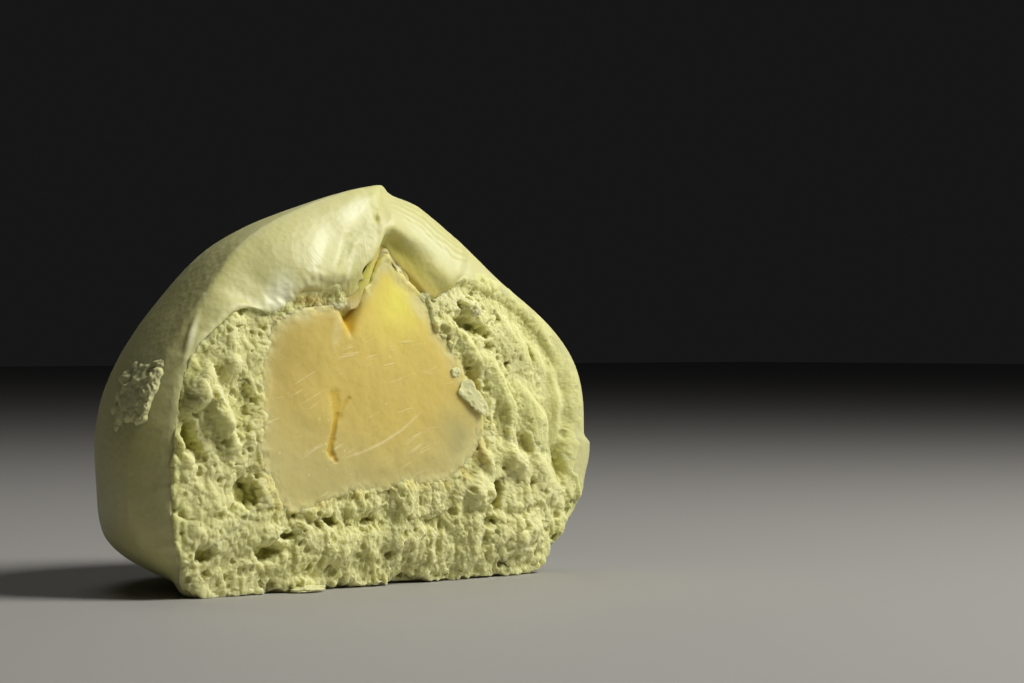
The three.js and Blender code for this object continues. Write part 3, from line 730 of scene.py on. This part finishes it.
skinLook = {
    "topColumns": 400, "otherColumns": 600, "rimRows": 42, "domeRows": 54,
    "seamStep": 0.8, "seamGroove": 0.35, "foldDepth": 0.26, "bandHeight": 0.06,
    # angle of the seam between the two lobes, by the share of the way along the roll
    "seam": ([0, 0.25, 0.5, 0.75, 1.0, 1.3], [83.0, 86.0, 85.5, 83.5, 80.0, 79.0]),
    # folds of the left lobe as seen from the camera (across, up): points, depth, half width
    "folds": [([(-26.2, 41.5), (-25.6, 44.6), (-25.2, 46.6), (-24.4, 48.2)], 0.20, 0.8), ([(-24.2, 41.2),
        (-23.6, 44.7), (-22.8, 47.3), (-21.6, 48.9), (-20.2, 49.8)], 0.26, 0.75), ([(-22.7, 40.6),
        (-21.9, 44.2), (-21.1, 47.3), (-20.2, 48.6)], 0.14, 0.9), ([(-19.3, 50.5), (-19.2, 52.0),
        (-19.9, 53.4)], 0.2, 0.5)],
    "lobeBulge": (9.4, 41.8, 2.6, 1.3, -40),  # on the face: x, z, half length, half width, tilt
    "crumblyCorner": (-28.0, 42.1, 1.9, 1.5, 0),
    # paler places, as seen from the camera: painted highlights where the light catches the lobes and the flap,
    # partly paler, tighter dough: across, up, half length, half width, tilt, strength
    "paleAndHighlightAreas": [(-32.6, 39.8, 3.5, 2.1, 80, 1.0), (-27.0, 46.3, 3.4, 1.3, 75, 0.75),
        (-22.1, 51.5, 3.2, 1.4, 35, 0.75), (-23.8, 46.2, 3.3, 0.5, 69, 0.9), (-22.6, 43.8, 3.6, 0.5, 73, 0.9),
        (-10.8, 46.9, 8.0, 1.9, -44, 0.6), (-43.3, 39.7, 0.3, 0.3, 0, 1.0), (-45.2, 33.9, 2.4, 0.4, 74, 0.9)],
    "sliver": (-45.1, 33.9, 2.8, 0.5, 74), "peakTip": (-18.2, 54.3, 1.5, 1.0, 40),
    # small pits where the lobe meets the paste, and the wider pocket: the same, with a depth
    # the two small pits also take the dark colour: painted shade inside them
    "pits": [(-19.8, 42.9, 1.15, 0.7, 55, 1.2), (-21.2, 41.2, 0.55, 0.3, 60, 0.5),
        (-28.2, 39.2, 1.5, 1.0, -10, 0.55)],
    # pale: painted highlights on the lobes and the flap, partly paler stretched dough
    "colours": {"base": (222, 219, 159), "mottle": (210, 208, 139), "specks": (120, 118, 60),
                # turnedUnderShade: painted shade on the underside of the lips' roll
                "fine": (232, 230, 182), "turnedUnderShade": (212, 204, 92), "pale": (244, 246, 206),
                # folds: painted shade in the fold grooves and band troughs
                "folds": (194, 194, 108), "browned": (214, 176, 92), "dark": (98, 82, 40)},
}


# Angles of the columns: close together over the lips at the top, wider apart elsewhere.
def skinTurns():
    top = np.linspace(35, 155, skinLook["topColumns"], endpoint=False)
    other = np.linspace(155, 395, skinLook["otherColumns"], endpoint=False)
    return np.radians(np.concatenate([top, other]))


# How far the roll has risen, 0 to 1, at a distance out from the skin's inner edge: a quarter sine for a
# narrow roll, an S for the wide lips.
def lipRise(turn, away):
    narrow = np.sin(math.pi / 2 * np.clip(away / riseEnd(turn), 0, 1))
    return mixed(narrow, smooth(riseStart(turn), riseEnd(turn), away), smooth(2.0, 3.2, riseEnd(turn)))


# Rolled edge from the skin's inner edge (share 0) to the dome (share 1): the radius grows as a quarter
# sine; the depth comes forward with the rise of the roll, is rounded at its crest, slopes back evenly,
# and turns into the dome at the end. At the foot it cuts straight back instead.
def rolledRim(turn, share):
    turn = turn[:1]
    inner, foot = skinRadius(turn), footShare(turn)
    edge = facePoint(turn, inner, 0.0)
    sweep = faceSweep(edge[..., 0], edge[..., 2])
    innerY, domeY = skinDepth(turn) + sweep + bun["footTuck"] * foot, domeDepth(turn) + 0.6 * sweep
    outer = reach(turn, 0.0, domeY)
    corner = bun["cornerOut"] * window(np.degrees(wrapped(turn)), -26, -10, -9, -7)
    across = np.sin(math.pi / 2 * share) ** (1.1 + 1.6 * foot)
    radius = mixed(inner, outer, across) + corner * np.sin(math.pi * share)
    crestAt = np.clip(riseEnd(turn) / np.maximum(outer - inner, 0.5), 0.1, 0.75)
    past = np.clip((across - crestAt) / (1 - crestAt), 0, 1)
    fall = 1 - (np.sqrt(past**2 + 0.04) - 0.2) / (math.sqrt(1.04) - 0.2)
    bend = np.minimum(1.3, 0.5 * (domeY - innerY))
    rise = lipRise(turn, across * (outer - inner))
    wide = smooth(2.0, 3.4, riseEnd(turn))
    lip = (mixed(innerY, domeY - bend, across ** (1 + 1.5 * wide)) - lipBulge(turn) * rise * fall
           + bend * share**4)
    y = mixed(lip, mixed(innerY, domeY, ((1 - np.cos(math.pi * share)) / 2) ** 0.5), foot)
    return facePoint(turn, radius, y)


# Narrow hem that carries the skin on from its inner edge (share 1) to under the torn crumb (share 0).
def hem(turn, share):
    edge = rolledRim(turn, 0 * share)
    middle = np.array([bun["middle"][0], 0.0, bun["middle"][1]])
    inwards = (edge - middle) * (1, 0, 1)
    inwards = inwards / np.linalg.norm(inwards, axis=-1, keepdims=True)
    hidden = (1 - footShare(turn)) * (1 - share)
    return edge + hidden[..., None] * (np.array([0, 0.7, 0]) - 0.8 * inwards)


# Outer skin from the rim (share 0) to the middle of the back (share 1).
def dome(turn, share):
    edge = facePoint(turn, skinRadius(turn), 0.0)
    domeY = domeDepth(turn) + 0.6 * faceSweep(edge[..., 0], edge[..., 2])
    first = np.arctan2(domeY - bun["domeCentreY"], reach(turn, 0.0, domeY))
    pitch = mixed(first, math.pi / 2, share)
    distance = reach(turn, pitch, bun["domeCentreY"])
    return facePoint(turn, distance * np.cos(pitch), bun["domeCentreY"] + distance * np.sin(pitch))


# How deep the placed folds of the left lobe are at each point, 0 to 1.
def foldMask(grid, across, up):
    wavyAcross, mask = across + 0.25 * noise(grid / 2.5, 38), np.zeros(across.shape)
    for line, depth, width in skinLook["folds"]:
        away, along = alongLine(wavyAcross, up, line)[:2]
        ends = np.sin(math.pi * np.clip(along, 0.03, 0.97)) ** 0.7
        mask = np.maximum(mask, depth / skinLook["foldDepth"] * bell(away, 0, width) * ends)
    return mask


# Stretch bands that run along the right lobe: a wavy sine across it, from -1 to 1, faded at its ends.
def lobeBands(grid, angle, share):
    bands = np.sin(2 * math.pi * 11.0 * share + 4.0 * noise(grid / 3.2, 39))
    return bands * window(angle, 44, 52, 78, 84) * window(share, 0.3, 0.5, 0.9, 1.2)


# What stands out from the smooth skin, in millimetres: the step and groove at the seam, folds down the
# left lobe, bands along the right one, the crumbly corner and edge, pits, and soft unevenness.
def skinRelief(grid, angle, share):
    look = skinLook
    across, up = seenAt(grid)
    front = smooth(1.3, 1.05, share)
    pastSeam = angle - np.interp(share, *look["seam"])
    lowered = smooth(1.6, -1.6, pastSeam) * smooth(-15, -1.5, pastSeam) * window(share, 0.25, 0.8, 1.15, 1.5)
    groove = bell(pastSeam, 0.6, 2.2) * window(share, 0.2, 0.4, 0.9, 1.15)
    relief = -look["seamStep"] * lowered - look["seamGroove"] * groove
    relief -= look["foldDepth"] * foldMask(grid, across, up) * front
    narrowing = 1 - 0.66 * smooth(0, 0.85, share)
    fineFolds = np.sin(2 * math.pi * (angle - 88) / narrowing / 1.7 + 2.5 * noise(grid / 3.0, 31))
    relief += 0.015 * fineFolds * window(angle, 93, 98, 116, 128) * window(share, 0.1, 0.25, 0.5, 0.95)
    relief += look["bandHeight"] * lobeBands(grid, angle, share)
    relief -= 0.5 * bell(angle, 89.5, 0.9) * bell(share, 0.4, 0.035)  # a nick beside the seam
    tornEdge = window(angle, 118, 123, 140, 152) * window(share, 0, 0.03, 0.1, 0.35)
    crumbly = 0.25 * (lumps(grid, (1.2, 1.2, 1.2), 36, crease=4.0) - 0.4) + 0.14 * noise(grid / 0.6, 37)
    relief += np.maximum(tornEdge, ovalBell(across, up, look["crumblyCorner"]) * front) * crumbly
    grains = window(angle, 104, 108, 128, 134) * window(share, 0, 0.02, 0.06, 0.16)
    relief += grains * (uneven(grid, (0.16, 0.7, 34), (0.1, 0.35, 35)))
    relief += 0.3 * ovalBell(across, up, look["sliver"]) * front
    relief += 0.5 * ovalBell(across, up, look["peakTip"], 1.0)
    for pit in look["pits"]:
        relief -= pit[5] * ovalBell(across, up, pit, 1.3) * front
    relief += 0.4 * ovalBell(grid[..., 0], grid[..., 2], look["lobeBulge"]) * front
    covering = cover(np.radians(angle))
    relief -= 0.6 * smooth(0, 0.12, covering) * smooth(0.6, 0.2, share / np.maximum(covering, 0.01))
    fade = smooth(0, 0.12, share) * smooth(0, 1.5, grid[..., 2])
    return relief + fade * (uneven(grid, (0.16, 9.0, 32), (0.05, 3.2, 33)))


# The skin, one sheet closed at the back: hem, rolled rim and dome, pushed out by the relief.
def makeSkin():
    look = skinLook
    turns = skinTurns()
    rimTurn, rimShare = np.meshgrid(turns, np.linspace(0, 1, look["rimRows"]))
    domeTurn, domeShare = np.meshgrid(turns, np.linspace(0, 1, look["domeRows"] + 1)[1:-1] ** 1.5)
    hemTurn, hemShare = np.meshgrid(turns, [0.0, 0.35, 0.7])
    grid = np.concatenate([hem(hemTurn, hemShare), rolledRim(rimTurn, rimShare), dome(domeTurn, domeShare)])
    share = np.concatenate([0 * hemShare, rimShare, 1 + domeShare])
    turn = np.concatenate([hemTurn, rimTurn, domeTurn])
    angle = np.degrees(turn)
    grid = pushed(grid, skinRelief(grid, angle, share))
    grid[..., 2] = np.maximum(grid[..., 2], 0.0)
    across, up = seenAt(grid)
    front = smooth(1.3, 1.0, share)
    away = np.hypot(grid[..., 0] - bun["middle"][0], grid[..., 2] - bun["middle"][1]) - skinRadius(turn)
    # painted shade on the underside of the lips' roll, before it rises, less of it past the seam
    under = (1 - lipRise(turn, away)) * (share < 1) * window(angle, 44, 52, 132, 142)
    # painted shade in the fold grooves of the left lobe and in the troughs of the right lobe's bands
    folds = np.maximum(foldMask(grid, across, up) * front,
                       0.4 * smooth(0.0, 0.9, -lobeBands(grid, angle, share)))
    browned = (0.35 * smooth(0.13, 0.0, share) * window(angle, 48, 54, 76, 84)
               + 0.4 * smooth(0.1, 0.02, share) * window(angle, 103, 108, 124, 130))
    pocket, *holes = look["pits"][::-1]
    # painted shade inside the two small pits by the paste
    dark = np.maximum.reduce([ovalBell(across, up, hole, 2.0) for hole in holes])
    fields = {"turnedUnderShade": under * (1 - 0.45 * smooth(92, 100, angle)), "folds": folds,
              # pale: painted highlights on the lobes and the flap, partly paler stretched dough
              "pale": np.clip(spots(across, up, look["paleAndHighlightAreas"]) * front - 0.8 * folds, 0, 1),
              "browned": np.maximum(browned, ovalBell(across, up, pocket, 1.0)) * front, "dark": dark * front,
              "sheetEnd": coveredAt(turn) * smooth(0.24, 0.06, share - cover(turn))}
    return gridObject("bunSkin", grid, fields, wrap=True, lastPole=grid[-1].mean(axis=0))


def skinMaterial():
    shader = Shader("steamed skin", skinLook["colours"])
    mottle = shader.noise(60, 4)
    # dark: painted shade in the pits
    turnedUnderShade, pale, folds, browned, dark = shader.attributes(
        "turnedUnderShade", "pale", "folds", "browned", "dark")
    specks = (1 - shader.step(0.05, 0.12, shader.cells(170))) * shader.step(0.62, 0.7, shader.noise(130, 2))
    # patchy: the painted highlights of pale broken into patches
    patchy = shader.step(0.2, 0.6, shader.noise(500, 3) * 0.35 + pale * 0.8)
    colour = shader.layered("base", (shader.step(0.3, 0.75, mottle), "mottle"), (specks * 0.5, "specks"),
                            (shader.step(0.4, 0.8, shader.noise(900, 3)) * 0.15, "fine"),
                            # turnedUnderShade: painted shade under the lips' roll
                            (turnedUnderShade * 0.85, "turnedUnderShade"), (patchy * pale, "pale"),
                            # folds: painted shade in the grooves
                            (folds * 0.7, "folds"), (browned * 0.85, "browned"), (dark, "dark"))
    normal = shader.bump(shader.noise(420, 3), 0.00020, 0.7)
    normal = shader.bump(shader.cells(1100), 0.00010, 0.6, under=normal)
    return shader.finish(*shader.attributes("sheetEnd"), Base_Color=colour, Roughness=0.44 + 0.10 * mottle,
                         Normal=normal, Subsurface_Weight=1.0, Subsurface_Radius=(1.0, 0.92, 0.7),
                         Subsurface_Scale=0.0014, IOR=1.45, Coat_Weight=0.25, Coat_Roughness=0.45)


fillingLook = {
    "columns": 640, "faceRows": 120, "edgeRows": 10, "backRows": 16,
    "depth": 17.0, "edge": 0.4, "notchDepth": 3.0, "notchX": -6.3, "notchTopZ": 38.0, "notchFootZ": 33.0,
    # cracks as points (x, z), half width, depth
    "cracks": [([(-8.9, 25.9), (-8.5, 24.2), (-8.4, 23.2)], 1.3, 0.16), ([(-8.4, 23.4), (-8.9, 21.6),
        (-9.1, 20.6)], 0.55, 0.32), ([(-9.2, 20.1), (-9.6, 18.6), (-9.2, 17.9)], 0.7, 0.32), ([(-8.4, 23.2),
        (-7.4, 24.4), (-6.6, 25.4)], 0.5, 0.14), ([(-9.2, 17.9), (-8.6, 17.2)], 0.35, 0.2)],
    "longScratch": [(-7.1, 17.6), (-4.3, 18.3), (-1.3, 19.4), (2.1, 21.1), (5.4, 23.5)],
    # coloured places on the face: x, z, half length, half width, tilt, strength
    "whitishSpots": [(-8.4, 34.4, 2.4, 0.8, 78, 1), (-12.0, 37.0, 4.6, 1.0, 8, 1),
        (-0.4, 43.2, 1.4, 0.8, 60, 1), (6.2, 37.0, 3.6, 1.2, -42, 1)],
    # lemonLightSpot: painted light, brighter lemon yellow where the light falls on the top right
    "oliveShadeSpot": (13.0, 18.6, 5.5, 2.6, -60), "lemonLightSpot": (2.0, 38.5, 5.0),
    # oliveShade: painted shade, darker olive grey at the lower right by the crumb
    "colours": {"base": (220, 198, 108), "cloud": (226, 204, 110), "tan": (206, 186, 104),
                "dull": (208, 196, 128), "oliveShade": (186, 180, 122), "lemonLight": (250, 237, 114),
                "whitish": (238, 228, 172), "edge": (220, 212, 146), "marks": (240, 228, 168),
                "crack": (216, 182, 56)},
}


# Front of the filling: almost flat, swept back with the torn face, split at its top edge.
def fillingFace(turn, share):
    look = fillingLook
    grid = facePoint(turn, (fillingRadius(turn) - look["edge"]) * share, 0.0)
    x, z = grid[..., 0], grid[..., 2]
    height = smooth(look["notchFootZ"], look["notchTopZ"], z)
    notch = look["notchDepth"] * height * bell(x, look["notchX"], 0.4 + 0.9 * height)
    grid[..., 1] = -0.25 + 0.25 * share**2 - 0.25 * noise(grid / 9.0, 51) + faceSweep(x, z) + notch
    return grid


# The filling as one closed grid: the face, a quarter-round edge, and a back that closes like a rounded
# cone; cracks, rags at the edge and soft waves are pushed in and out of it.
def makeFilling():
    look = fillingLook
    turns = np.linspace(0, 2 * math.pi, look["columns"], endpoint=False)
    faceTurn, faceShare = np.meshgrid(turns, np.linspace(0, 1, look["faceRows"] + 1)[1:])
    face = fillingFace(faceTurn, faceShare)
    edgeTurn, edgeShare = np.meshgrid(turns, np.linspace(0, 1, look["edgeRows"] + 1)[1:])
    bend = math.pi / 2 * edgeShare
    rimY = mixed(face[-1:, :, 1], look["edge"], 1 - np.cos(bend))
    edge = facePoint(edgeTurn, fillingRadius(edgeTurn) - look["edge"] * (1 - np.sin(bend)), rimY)
    backTurn, backShare = np.meshgrid(turns, np.linspace(0, 1, look["backRows"] + 1)[1:-1])
    pitch = math.pi / 2 * backShare
    backY = look["edge"] + (look["depth"] - look["edge"]) * np.sin(pitch) ** 1.15
    back = facePoint(backTurn, fillingRadius(backTurn) * np.cos(pitch) ** 0.75, backY)
    grid = np.concatenate([face, edge, back])
    share = np.concatenate([faceShare * 0.92, 0.92 + 0.08 * edgeShare, 1 + backShare])
    x, z = grid[..., 0], grid[..., 2]
    height = smooth(look["notchFootZ"], look["notchTopZ"], z)
    crack = bell(x, look["notchX"], 0.45 + 1.1 * height) ** 0.6 * smooth(0.0, 0.2, height) * (share < 0.99)
    depth = np.zeros(x.shape)
    for line, halfWidth, deep in look["cracks"]:
        away = alongLine(x, z, line)[0] + 0.12 * noise(grid / 0.5, 52)
        inside = smooth(halfWidth, 0.2 * halfWidth, away) * (share < 0.9)
        depth = np.maximum(depth, inside * deep)
        crack = np.maximum(crack, inside * (0.35 + 1.6 * deep))
    away, along = alongLine(x, z, look["longScratch"])[:2]
    scratch = bell(away, 0, 0.16) * np.sin(math.pi * np.clip(along, 0.02, 0.98)) ** 0.5 * (share < 0.9)
    soft = 0.16 * noise(grid / 6.0, 55) + 0.07 * layeredNoise(grid / 2.6, 53, 3)
    rags = (uneven(grid, (0.2, 0.9, 54), (0.12, 0.4, 56))) * window(share, 0.80, 0.97, 1.0, 1.3)
    grid = pushed(grid, soft + rags - depth)
    front = fillingFace(np.zeros((1, 1)), np.zeros((1, 1)))[0, 0]
    rear = np.array([bun["middle"][0], look["depth"], bun["middle"][1]])
    x, z = grid[..., 0], grid[..., 2]
    # lemonLight: painted light at the top right of the face
    lemonX, lemonZ, lemonSize = look["lemonLightSpot"]
    fields = {"share": share, "crack": np.clip(crack, 0, 1), "scratch": scratch,
              "whitish": spots(x, z, look["whitishSpots"], 1.5),
              "lemonLight": bell(x, lemonX, lemonSize) * bell(z, lemonZ, lemonSize),
              "tan": smooth(-6, -18, x) * smooth(14, 28, z), "dull": smooth(24, 12, z - 0.25 * np.abs(x)),
              # oliveShade: painted shade at the lower right
              "oliveShade": ovalBell(x, z, look["oliveShadeSpot"], 1.0)}
    return gridObject("pasteFilling", grid, fields, wrap=True, firstPole=front, lastPole=rear)


def fillingMaterial():
    shader = Shader("sweet paste", fillingLook["colours"])
    share, crack, lemonLight, tan, dull, oliveShade, whitish, scratch = shader.attributes(
        "share", "crack", "lemonLight", "tan", "dull", "oliveShade", "whitish", "scratch")
    cloud, patches = shader.noise(90, 4), shader.noise(260, 4, 0.6)
    nearEdge = shader.step(0.76, 0.93, share + 0.2 * (patches - 0.5))
    # fine strokes in two directions, each in patches of its own
    strokes = shader.noise(1500, 2, 0.5, shader.turned((10.0, 1.0, 1.0), (0, math.radians(-27), 0)))
    others = shader.noise(1300, 2, 0.5, shader.turned((7.0, 1.0, 1.0), (0, math.radians(-12), 0)))
    here, there = shader.step(0.48, 0.62, shader.noise(170, 3)), shader.step(0.48, 0.62, shader.noise(130, 3))
    marks = shader.step(0.60, 0.72, strokes) * here + shader.step(0.62, 0.74, others) * there
    flecks = (1 - shader.step(0.10, 0.24, shader.cells(900))) * shader.step(0.52, 0.68, shader.noise(300, 3))
    # lemonLight: painted light at the top right
    colour = shader.layered("base", (shader.step(0.3, 0.7, cloud), "cloud"), (tan, "tan"), (dull, "dull"),
                            # oliveShade: painted shade at the lower right
                            (oliveShade * 0.8, "oliveShade"), (lemonLight, "lemonLight"),
                            (whitish * shader.step(0.3, 0.6, patches) * 0.8, "whitish"),
                            (nearEdge * 0.8, "edge"),
                            (shader.clamped(marks * 0.5 + flecks * 0.5 + scratch * 0.9), "marks"),
                            (crack, "crack"))
    normal = shader.bump(marks, 0.00008, 0.5)
    normal = shader.bump(shader.noise(1500, 3), 0.00006, 0.6, under=normal)
    return shader.finish(Base_Color=colour, Roughness=0.42 + 0.12 * cloud, Normal=normal, Subsurface_Weight=0.7,
                         Subsurface_Radius=(1.0, 0.88, 0.5), Subsurface_Scale=0.0016, IOR=1.42)


bitLook = {
    # thin flakes: outline on the face as (x, z), depth of the middle, thickness, seed
    "flakes": {"fillingFlake": ([(11.9, 26.6), (12.7, 27.7), (13.8, 27.6), (14.9, 26.4), (16.3, 25.2),
        (17.0, 23.6), (16.4, 22.7), (15.0, 23.4), (13.4, 24.6)], -0.38, 0.42, 71)},
    # small scraps: middle (x, y, z), half sizes along, through and across, tilt in degrees, seed
    "bits": {"fillingSpeck": ((11.4, -0.12, 28.8), (0.75, 0.3, 0.6), 10, 72),
             "hollowCrumb": ((14.8, -0.5, 37.3), (0.9, 0.6, 0.7), 30, 77),
             "footFlap": ((-12.6, 0.6, 0.5), (2.5, 1.2, 0.42), 2, 78)},
    "patchAngles": (168.5, 187.0), "patchShares": (0.5, 1.23), "patchHeight": 0.42,
}


# The crumb material's point values on a loose bit: even, apart from the painted shade of its cavities.
def plainCrumbFields(grid, cavityShade, pale):
    even = np.zeros(grid.shape[:2])
    return {"cavityShade": even + cavityShade, "share": even + 0.6, "pale": even + pale, "smoothHollow": even,
            "crest": even, "warm": even, "sheetEnd": even}


# A torn-off scrap: a ball flattened to its half sizes, squared off a little, tilted and made uneven.
def scrap(name, middle, halfSizes, tilt, seed):
    around, down = np.meshgrid(np.linspace(0, 2 * math.pi, 72, endpoint=False),
                               np.linspace(0, math.pi, 40)[1:-1])
    ball = np.stack([np.sin(down) * np.cos(around), -np.cos(down), np.sin(down) * np.sin(around)], -1)
    ball = np.sign(ball) * np.abs(ball) ** 0.8
    size = 1 + 0.28 * noise(ball * 1.6, seed) + 0.10 * noise(ball * 4.0, seed + 1)
    place = ball * size[..., None] * np.array(halfSizes)
    cos, sin = math.cos(math.radians(tilt)), math.sin(math.radians(tilt))

    def turned(p):
        x, y, z = p[..., 0], p[..., 1], p[..., 2]
        return np.stack([x * cos - z * sin, y, x * sin + z * cos], -1) + middle
    grid = turned(place)
    grid = pushed(grid, 0.08 * noise(grid / 0.35, seed + 2))
    grid[..., 2] = np.maximum(grid[..., 2], 0.02)
    front, rear = turned(np.array([0, -halfSizes[1], 0.0])), turned(np.array([0, halfSizes[1], 0.0]))
    return gridObject(name, grid, plainCrumbFields(grid, 0.8, 0.5), wrap=True, firstPole=front, lastPole=rear)


# A thin torn flake lying on the face: its outline drawn in to the middle, first over the front and then
# over the back, with a rounded edge and a crumpled surface.
def flake(name, outline, depth, thickness, seed):
    middleX, middleZ = middle = np.mean(outline, axis=0)
    radiusAt = ringCurve(polarPairs(outline, middle))
    turn, walk = np.meshgrid(np.linspace(0, 2 * math.pi, 120, endpoint=False),
                             np.linspace(0.02, 0.98, 48) * math.pi)
    jag = noise(np.stack([np.cos(turn), np.sin(turn), 0 * turn], -1) * 4.0, seed + 3)
    radius = radiusAt(turn) * (1 + 0.12 * jag) * np.sin(walk) ** 0.3
    x, z = middleX + radius * np.cos(turn), middleZ + radius * np.sin(turn)
    grid = np.stack([x, depth - thickness / 2 * np.cos(walk), z], -1)
    grid[..., 1] += 0.25 * noise(grid / 1.6, seed) + 0.16 * np.abs(noise(grid / 0.7, seed + 1))
    grid = pushed(grid, 0.05 * noise(grid / 0.3, seed + 2))
    front, rear = grid[0].mean(axis=0), grid[-1].mean(axis=0)
    return gridObject(name, grid, plainCrumbFields(grid, 0.95, 0.35), wrap=True, firstPole=front, lastPole=rear)


# Rough patch on the dark side where the skin came away: the skin's own surface again, from the roll on
# to the dome, pushed out into soft clumps inside an uneven oval and sunk under the skin outside it.
def tornPatch():
    look = bitLook
    low, high = look["patchAngles"]
    near, far = look["patchShares"]
    turn, share = np.meshgrid(np.radians(np.linspace(low, high, 180)), np.linspace(near, far, 180))
    rim, back = rolledRim(turn, np.minimum(share, 1)), dome(turn, np.maximum(share - 1, 0))
    grid = np.where((share < 1)[..., None], rim, back)
    u, v = 2 * (np.degrees(turn) - low) / (high - low) - 1, 2 * (share - near) / (far - near) - 1
    inside = 1 - np.hypot(u, v) + uneven(grid, (0.3, 2.4, 81), (0.2, 1.0, 82))
    mask = smooth(0.0, 0.5, inside) * smooth(1.0, 0.85, np.abs(u)) * smooth(1.0, 0.85, np.abs(v))
    clumps = lumps(grid, (1.3, 1.3, 1.3), 83, warp=0.7, crease=5.0) - 0.4
    first = mask * (0.8 + look["patchHeight"] * clumps) - 0.4
    grid = pushed(grid, first, wrap=False)
    grains = 0.16 * lumps(grid, (0.65, 0.65, 0.65), 84, warp=0.8, crease=5.0) + 0.12 * noise(grid / 0.4, 86)
    second = (grains - 0.06) * mask
    grid = pushed(grid, second, 3, 0.3, wrap=False)
    # painted shade in the patch's crevices and painted light on its clumps
    cavityShade = 0.6 + 0.6 * (first + second - blurred(first + second, 5))
    return gridObject("tornPatch", grid, plainCrumbFields(grid, np.clip(cavityShade, 0, 1), 0.2))


filmLook = {
    "angles": (88.0, 72.0),  # from the tip of the paste down its right shoulder
    "reach": (-0.4, 1.3),  # how far it runs in and out from the filling's outline
    "depth": 0.2, "slope": 0.9, "ripple": 0.22,
    "colours": {"clear": (182, 174, 112), "streaks": (208, 202, 148)},
}


# Clear film along the top right edge of the filling: a rippled strip that follows the filling's outline.
def pasteFilm():
    look = filmLook
    t, w = np.meshgrid(np.linspace(0, 1, 70), np.linspace(0, 1, 24))
    turn = np.radians(mixed(*look["angles"], t))
    radius = fillingRadius(turn) + mixed(*look["reach"], w) * np.sin(math.pi * np.clip(t, 0.03, 0.97)) ** 0.5
    ripple = look["ripple"] * np.sin(9 * t + 3 * w) + 0.12 * noise(np.stack([t * 9, w * 4, 0 * t], -1), 91)
    return gridObject("pasteFilm", facePoint(turn, radius, look["depth"] + look["slope"] * w + ripple), {})


def filmMaterial():
    shader = Shader("clear paste film", filmLook["colours"])
    streaks = shader.noise(700, 3)
    return shader.finish(Base_Color=shader.layered("clear", (shader.step(0.35, 0.7, streaks), "streaks")),
                         Roughness=0.22, Normal=shader.bump(streaks, 0.0002, 0.8), Subsurface_Weight=0.6,
                         Subsurface_Radius=(1.0, 0.8, 0.4), Subsurface_Scale=0.0012, IOR=1.42)


stageLook = {
    "floorColour": (0.38, 0.37, 0.35, 1.0), "floorHalf": 3.0,
    "worldColour": (0.30, 0.30, 0.31, 1.0), "worldStrength": 0.028,
    # round lamps that look at the bun's axis: place, height looked at, size (all in metres), watts, colour
    "lamps": {"keyLight": ((0.24, -0.35, 0.46), 0.03, 0.28, 3.8, (1.0, 0.98, 0.94)),
              "frontLight": ((0.42, -0.50, 0.12), 0.02, 0.50, 0.5, (1.0, 0.98, 0.94)),
              "fillLight": ((-0.50, -0.40, 0.25), 0.02, 0.40, 0.008, (0.96, 0.98, 1.0)),
              "topLight": ((0.05, 0.20, 0.50), 0.04, 0.30, 0.27, (1.0, 1.0, 0.98))},
}


# Puts a camera, lamp or mesh into the scene under its own name.
def placed(data, location=(0, 0, 0), rotation=(0, 0, 0)):
    obj = bpy.data.objects.new(data.name, data)
    obj.location, obj.rotation_euler = location, rotation
    bpy.context.scene.collection.objects.link(obj)
    return obj


def lamp(name, place, aimHeight, size, watts, colour):
    data = bpy.data.lights.new(name, "AREA")
    data.shape, data.size, data.energy, data.color = "DISK", size, watts, colour
    tilt = math.atan2(math.hypot(place[0], place[1]), place[2] - aimHeight)
    placed(data, place, (tilt, 0, math.atan2(-place[1], -place[0]) - math.pi / 2))


def makeStage():
    look, scene = stageLook, bpy.context.scene
    data = bpy.data.cameras.new("photoView")
    data.lens, data.sensor_width, data.clip_start = view["lens"], view["sensor"], 0.01
    scene.camera = placed(data, (eye - baseMiddle) * mm, (math.pi / 2, 0, -eyeTurn))

    side = look["floorHalf"]
    floorMesh = bpy.data.meshes.new("floor")
    floorMesh.from_pydata([(-side, -side, 0), (side, -side, 0), (side, side, 0), (-side, side, 0)], [],
                          [(0, 1, 2, 3)])
    floorMesh.materials.append(Shader("pale floor").finish(Base_Color=look["floorColour"], Roughness=0.7))
    placed(floorMesh)

    scene.world = bpy.data.worlds.new("studio")
    scene.world.use_nodes = True
    background = scene.world.node_tree.nodes["Background"].inputs
    background["Color"].default_value = look["worldColour"]
    background["Strength"].default_value = look["worldStrength"]
    for name, settings in look["lamps"].items():
        lamp(name, *settings)
    scene.view_settings.view_transform = "Standard"


def dress(obj, material, node):
    obj.data.materials.append(material)
    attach(obj, "root")
    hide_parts(node)


crumb = crumbMaterial("steamed crumb", 0.0013, 0.75)
looseCrumb = crumbMaterial("loose crumb", 0.0006, 0.0)
for piece in makeCrumb():
    dress(piece, crumb, "dough")
print("crumb done")
for name, settings in bitLook["bits"].items():
    dress(scrap(name, *settings), looseCrumb, "dough")
for name, settings in bitLook["flakes"].items():
    dress(flake(name, *settings), looseCrumb, "dough")
dress(tornPatch(), looseCrumb, "dough")
dress(makeSkin(), skinMaterial(), "dough")
print("skin done")
dress(pasteFilm(), filmMaterial(), "filling")
dress(makeFilling(), fillingMaterial(), "filling")
print("filling done")
makeStage()
print("stage done")
